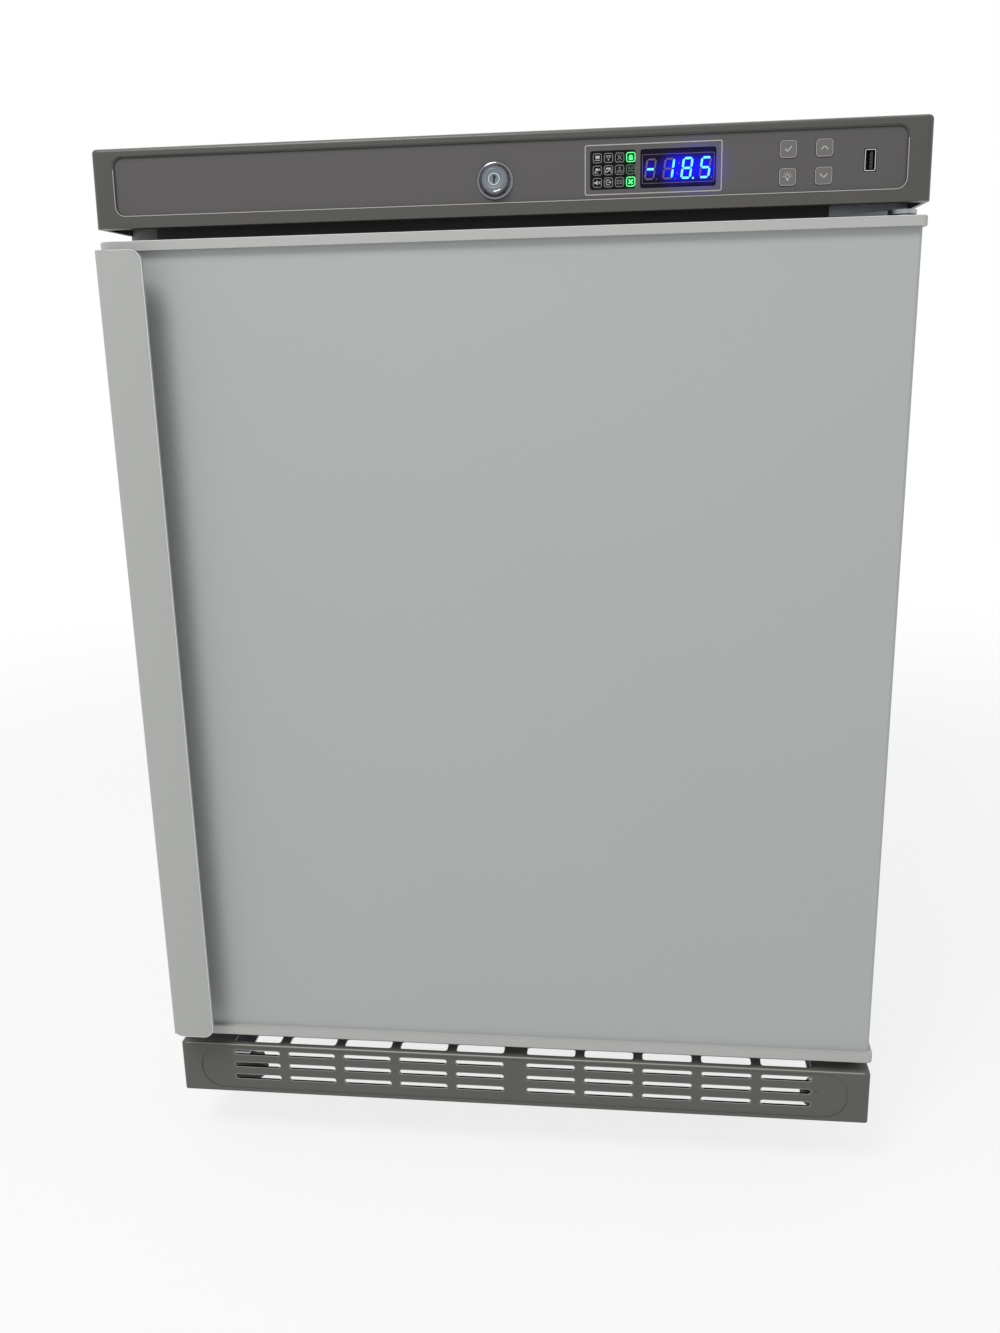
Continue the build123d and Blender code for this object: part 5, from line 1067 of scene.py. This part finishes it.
# USB socket: its steel lip, and four contacts on the tongue
USB_ACROSS = 258.5 * MM
USB_UP = 27.9 * MM
USB_LIP_W = 7.2 * MM
USB_LIP_H = 14.0 * MM
USB_LIP_RADIUS = 0.9 * MM
USB_LIP_LINE = 0.4 * MM
USB_LIP_LIFT = 0.15 * MM
CONTACT_LENGTH = 4.4 * MM
CONTACT_W = 1.3 * MM
CONTACT_RADIUS = 0.2 * MM
CONTACT_THICK = 0.08 * MM
CONTACT_BEVEL = 0.02 * MM
CONTACT_PITCH = 2.4 * MM
CONTACT_SUNK = 3.6 * MM
usb_lip = border(USB_LIP_W, USB_LIP_H, USB_LIP_RADIUS, USB_LIP_LINE, USB_LIP_LIFT)
at(usb_lip, USB_ACROSS, USB_UP)
piece("usb_lip", [usb_lip], OVERLAY_FACE, POLISHED, "cabinet")
contacts = []
for step in (-1.5, -0.5, 0.5, 1.5):
    contact = raised(panel(CONTACT_LENGTH, CONTACT_W, CONTACT_RADIUS), CONTACT_THICK, CONTACT_BEVEL)
    contact.transform(Matrix.Rotation(-pi / 2, 4, "Y"))
    contacts.append(at(contact, USB_ACROSS, USB_UP + step * CONTACT_PITCH, -CONTACT_SUNK))
piece("usb_contacts", contacts, OVERLAY_FACE, CONTACT_GOLD, "cabinet")

# Screws that hold the back panel: domed heads, each with a cross of raised near-black bars, painted shade
# in place of a cross recess, no two turned alike
BACK_LOW, BACK_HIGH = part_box("back_panel")
SCREW_IN = 11.0 * MM
SCREW_ENDS = 36.0 * MM
SCREW_ROWS = 5
SCREW_TURN = 0.4
SLIT_LENGTH = 3.4 * MM
SLIT_W = 0.7 * MM
SLIT_LIFT = 0.25 * MM
SLIT_UP = 2.02 * MM
BACK_FACE = face_plane((0.0, BACK_HIGH.y, 0.0), REAR)
screw_pitch = (BACK_HIGH.z - BACK_LOW.z - 2 * SCREW_ENDS) / (SCREW_ROWS - 1)
screw_heads, screw_crosses = [], []
for side in (-1, 1):
    for row in range(SCREW_ROWS):
        across = side * (SCREW_IN - BACK_HIGH.x)
        up = BACK_LOW.z + SCREW_ENDS + row * screw_pitch
        head = turned(
            (0, -0.4), (4.2, -0.4), (4.2, 0.3), (3.7, 1.3), (2.4, 2.0), (1.2, 2.15), (0, 2.2), steps=24
        )
        screw_heads.append(at(head, across, up))
        first_turn = SCREW_TURN * row + side
        for turn in (first_turn, first_turn + pi / 2):
            slit = raised(panel(SLIT_LENGTH, SLIT_W), SLIT_LIFT)
            screw_crosses.append(at(slit, across, up, SLIT_UP, turn))
piece("back_screws", screw_heads, BACK_FACE, FINISHES["zinc_sheet"], "cabinet")
piece("back_screw_cross_shade", screw_crosses, BACK_FACE, PAINTED_SHADE_BLACK, "cabinet")


# Stage
def seen_directly(tree):
    """1 for rays from the camera, and for those that a mirror or glass passes on."""
    path = add_node(tree, "LightPath").outputs
    first = maths(tree, "MAXIMUM", path["Is Camera Ray"], path["Is Glossy Ray"])
    return maths(tree, "MAXIMUM", first, path["Is Transmission Ray"])


def floor_finish():
    """A pale seamless floor: it keeps the object's shadow, and the camera sees it near white."""
    material, tree, shader = new_material("studio_floor")
    place = object_place(tree)
    cloud = noise(tree, place, scale=1.5, detail=2.0)
    tone = ramp(tree, cloud, 0.0, 1.0, FLOOR_GREY - FLOOR_GREY_RANGE, FLOOR_GREY + FLOOR_GREY_RANGE)
    tree.links.new(tone, shader.inputs["Base Color"])
    shader.inputs["Roughness"].default_value = FLOOR_ROUGHNESS
    shader.inputs["Specular IOR Level"].default_value = 0.0
    white = add_node(tree, "Emission", {"Color": WHITE, "Strength": 1.0})
    reach = add_node(tree, "VectorMath", {0: place}, operation="LENGTH").outputs["Value"]
    fade = ramp(tree, reach, FLOOR_FADE_START, FLOOR_FADE_END, low=FLOOR_GLOW_NEAR, ease="SMOOTHSTEP")
    seen = maths(tree, "MULTIPLY", seen_directly(tree), fade)
    surface = add_node(tree, "MixShader", {0: seen, 1: shader.outputs[0], 2: white.outputs[0]})
    tree.links.new(surface.outputs[0], tree.nodes["Material Output"].inputs["Surface"])
    return material


ground = bmesh.new()
bmesh.ops.create_grid(ground, x_segments=1, y_segments=1, size=FLOOR_HALF)
floor_mesh = bpy.data.meshes.new("studio_floor")
ground.to_mesh(floor_mesh)
ground.free()
floor_mesh.materials.append(floor_finish())
floor = bpy.data.objects.new("studio_floor", floor_mesh)
bpy.context.scene.collection.objects.link(floor)

# World: a plain sky on the object, and white to whatever looks at it directly
world = bpy.data.worlds.new("studio")
world.use_nodes = True
sky = world.node_tree
backdrop = sky.nodes["Background"]
direct = seen_directly(sky)
sky.links.new(mixed(sky, direct, SKY_TINT, WHITE), backdrop.inputs["Color"])
sky.links.new(ramp(sky, direct, 0.0, 1.0, low=WORLD_LEVEL), backdrop.inputs["Strength"])
bpy.context.scene.world = world

# Lamp: its power gives a surface that faces it LAMP_LEVEL of the light at which a colour
# renders as it is written
sideways = cos(radians(LAMP_HEIGHT_ANGLE))
to_lamp = Vector((
    -sideways * sin(radians(LAMP_LEFT_ANGLE)),
    -sideways * cos(radians(LAMP_LEFT_ANGLE)),
    sin(radians(LAMP_HEIGHT_ANGLE)),
))
lamp_data = bpy.data.lights.new("softbox", "AREA")
lamp_data.shape = "DISK"
lamp_data.size = LAMP_SIZE
lamp_data.color = LAMP_TINT
lamp_data.energy = LAMP_LEVEL * pi**2 * LAMP_DISTANCE**2
lamp = bpy.data.objects.new("softbox", lamp_data)
lamp.location = Vector(TARGET) + to_lamp * LAMP_DISTANCE
lamp.rotation_euler = to_lamp.to_track_quat("Z", "Y").to_euler()
bpy.context.scene.collection.objects.link(lamp)

lens = bpy.data.cameras.new("viewer")
lens.lens = CAMERA_LENS
lens.sensor_width = CAMERA_SENSOR
camera = bpy.data.objects.new("viewer", lens)
heading = Matrix.Rotation(radians(CAMERA_HEADING), 4, "Z")
tilt = Matrix.Rotation(radians(90.0 - CAMERA_DOWN), 4, "X")
roll = Matrix.Rotation(radians(CAMERA_ROLL), 4, "Z")
camera.matrix_world = Matrix.Translation(CAMERA_PLACE) @ heading @ tilt @ roll
bpy.context.scene.collection.objects.link(camera)
bpy.context.scene.camera = camera
bpy.context.scene.view_settings.view_transform = "Standard"
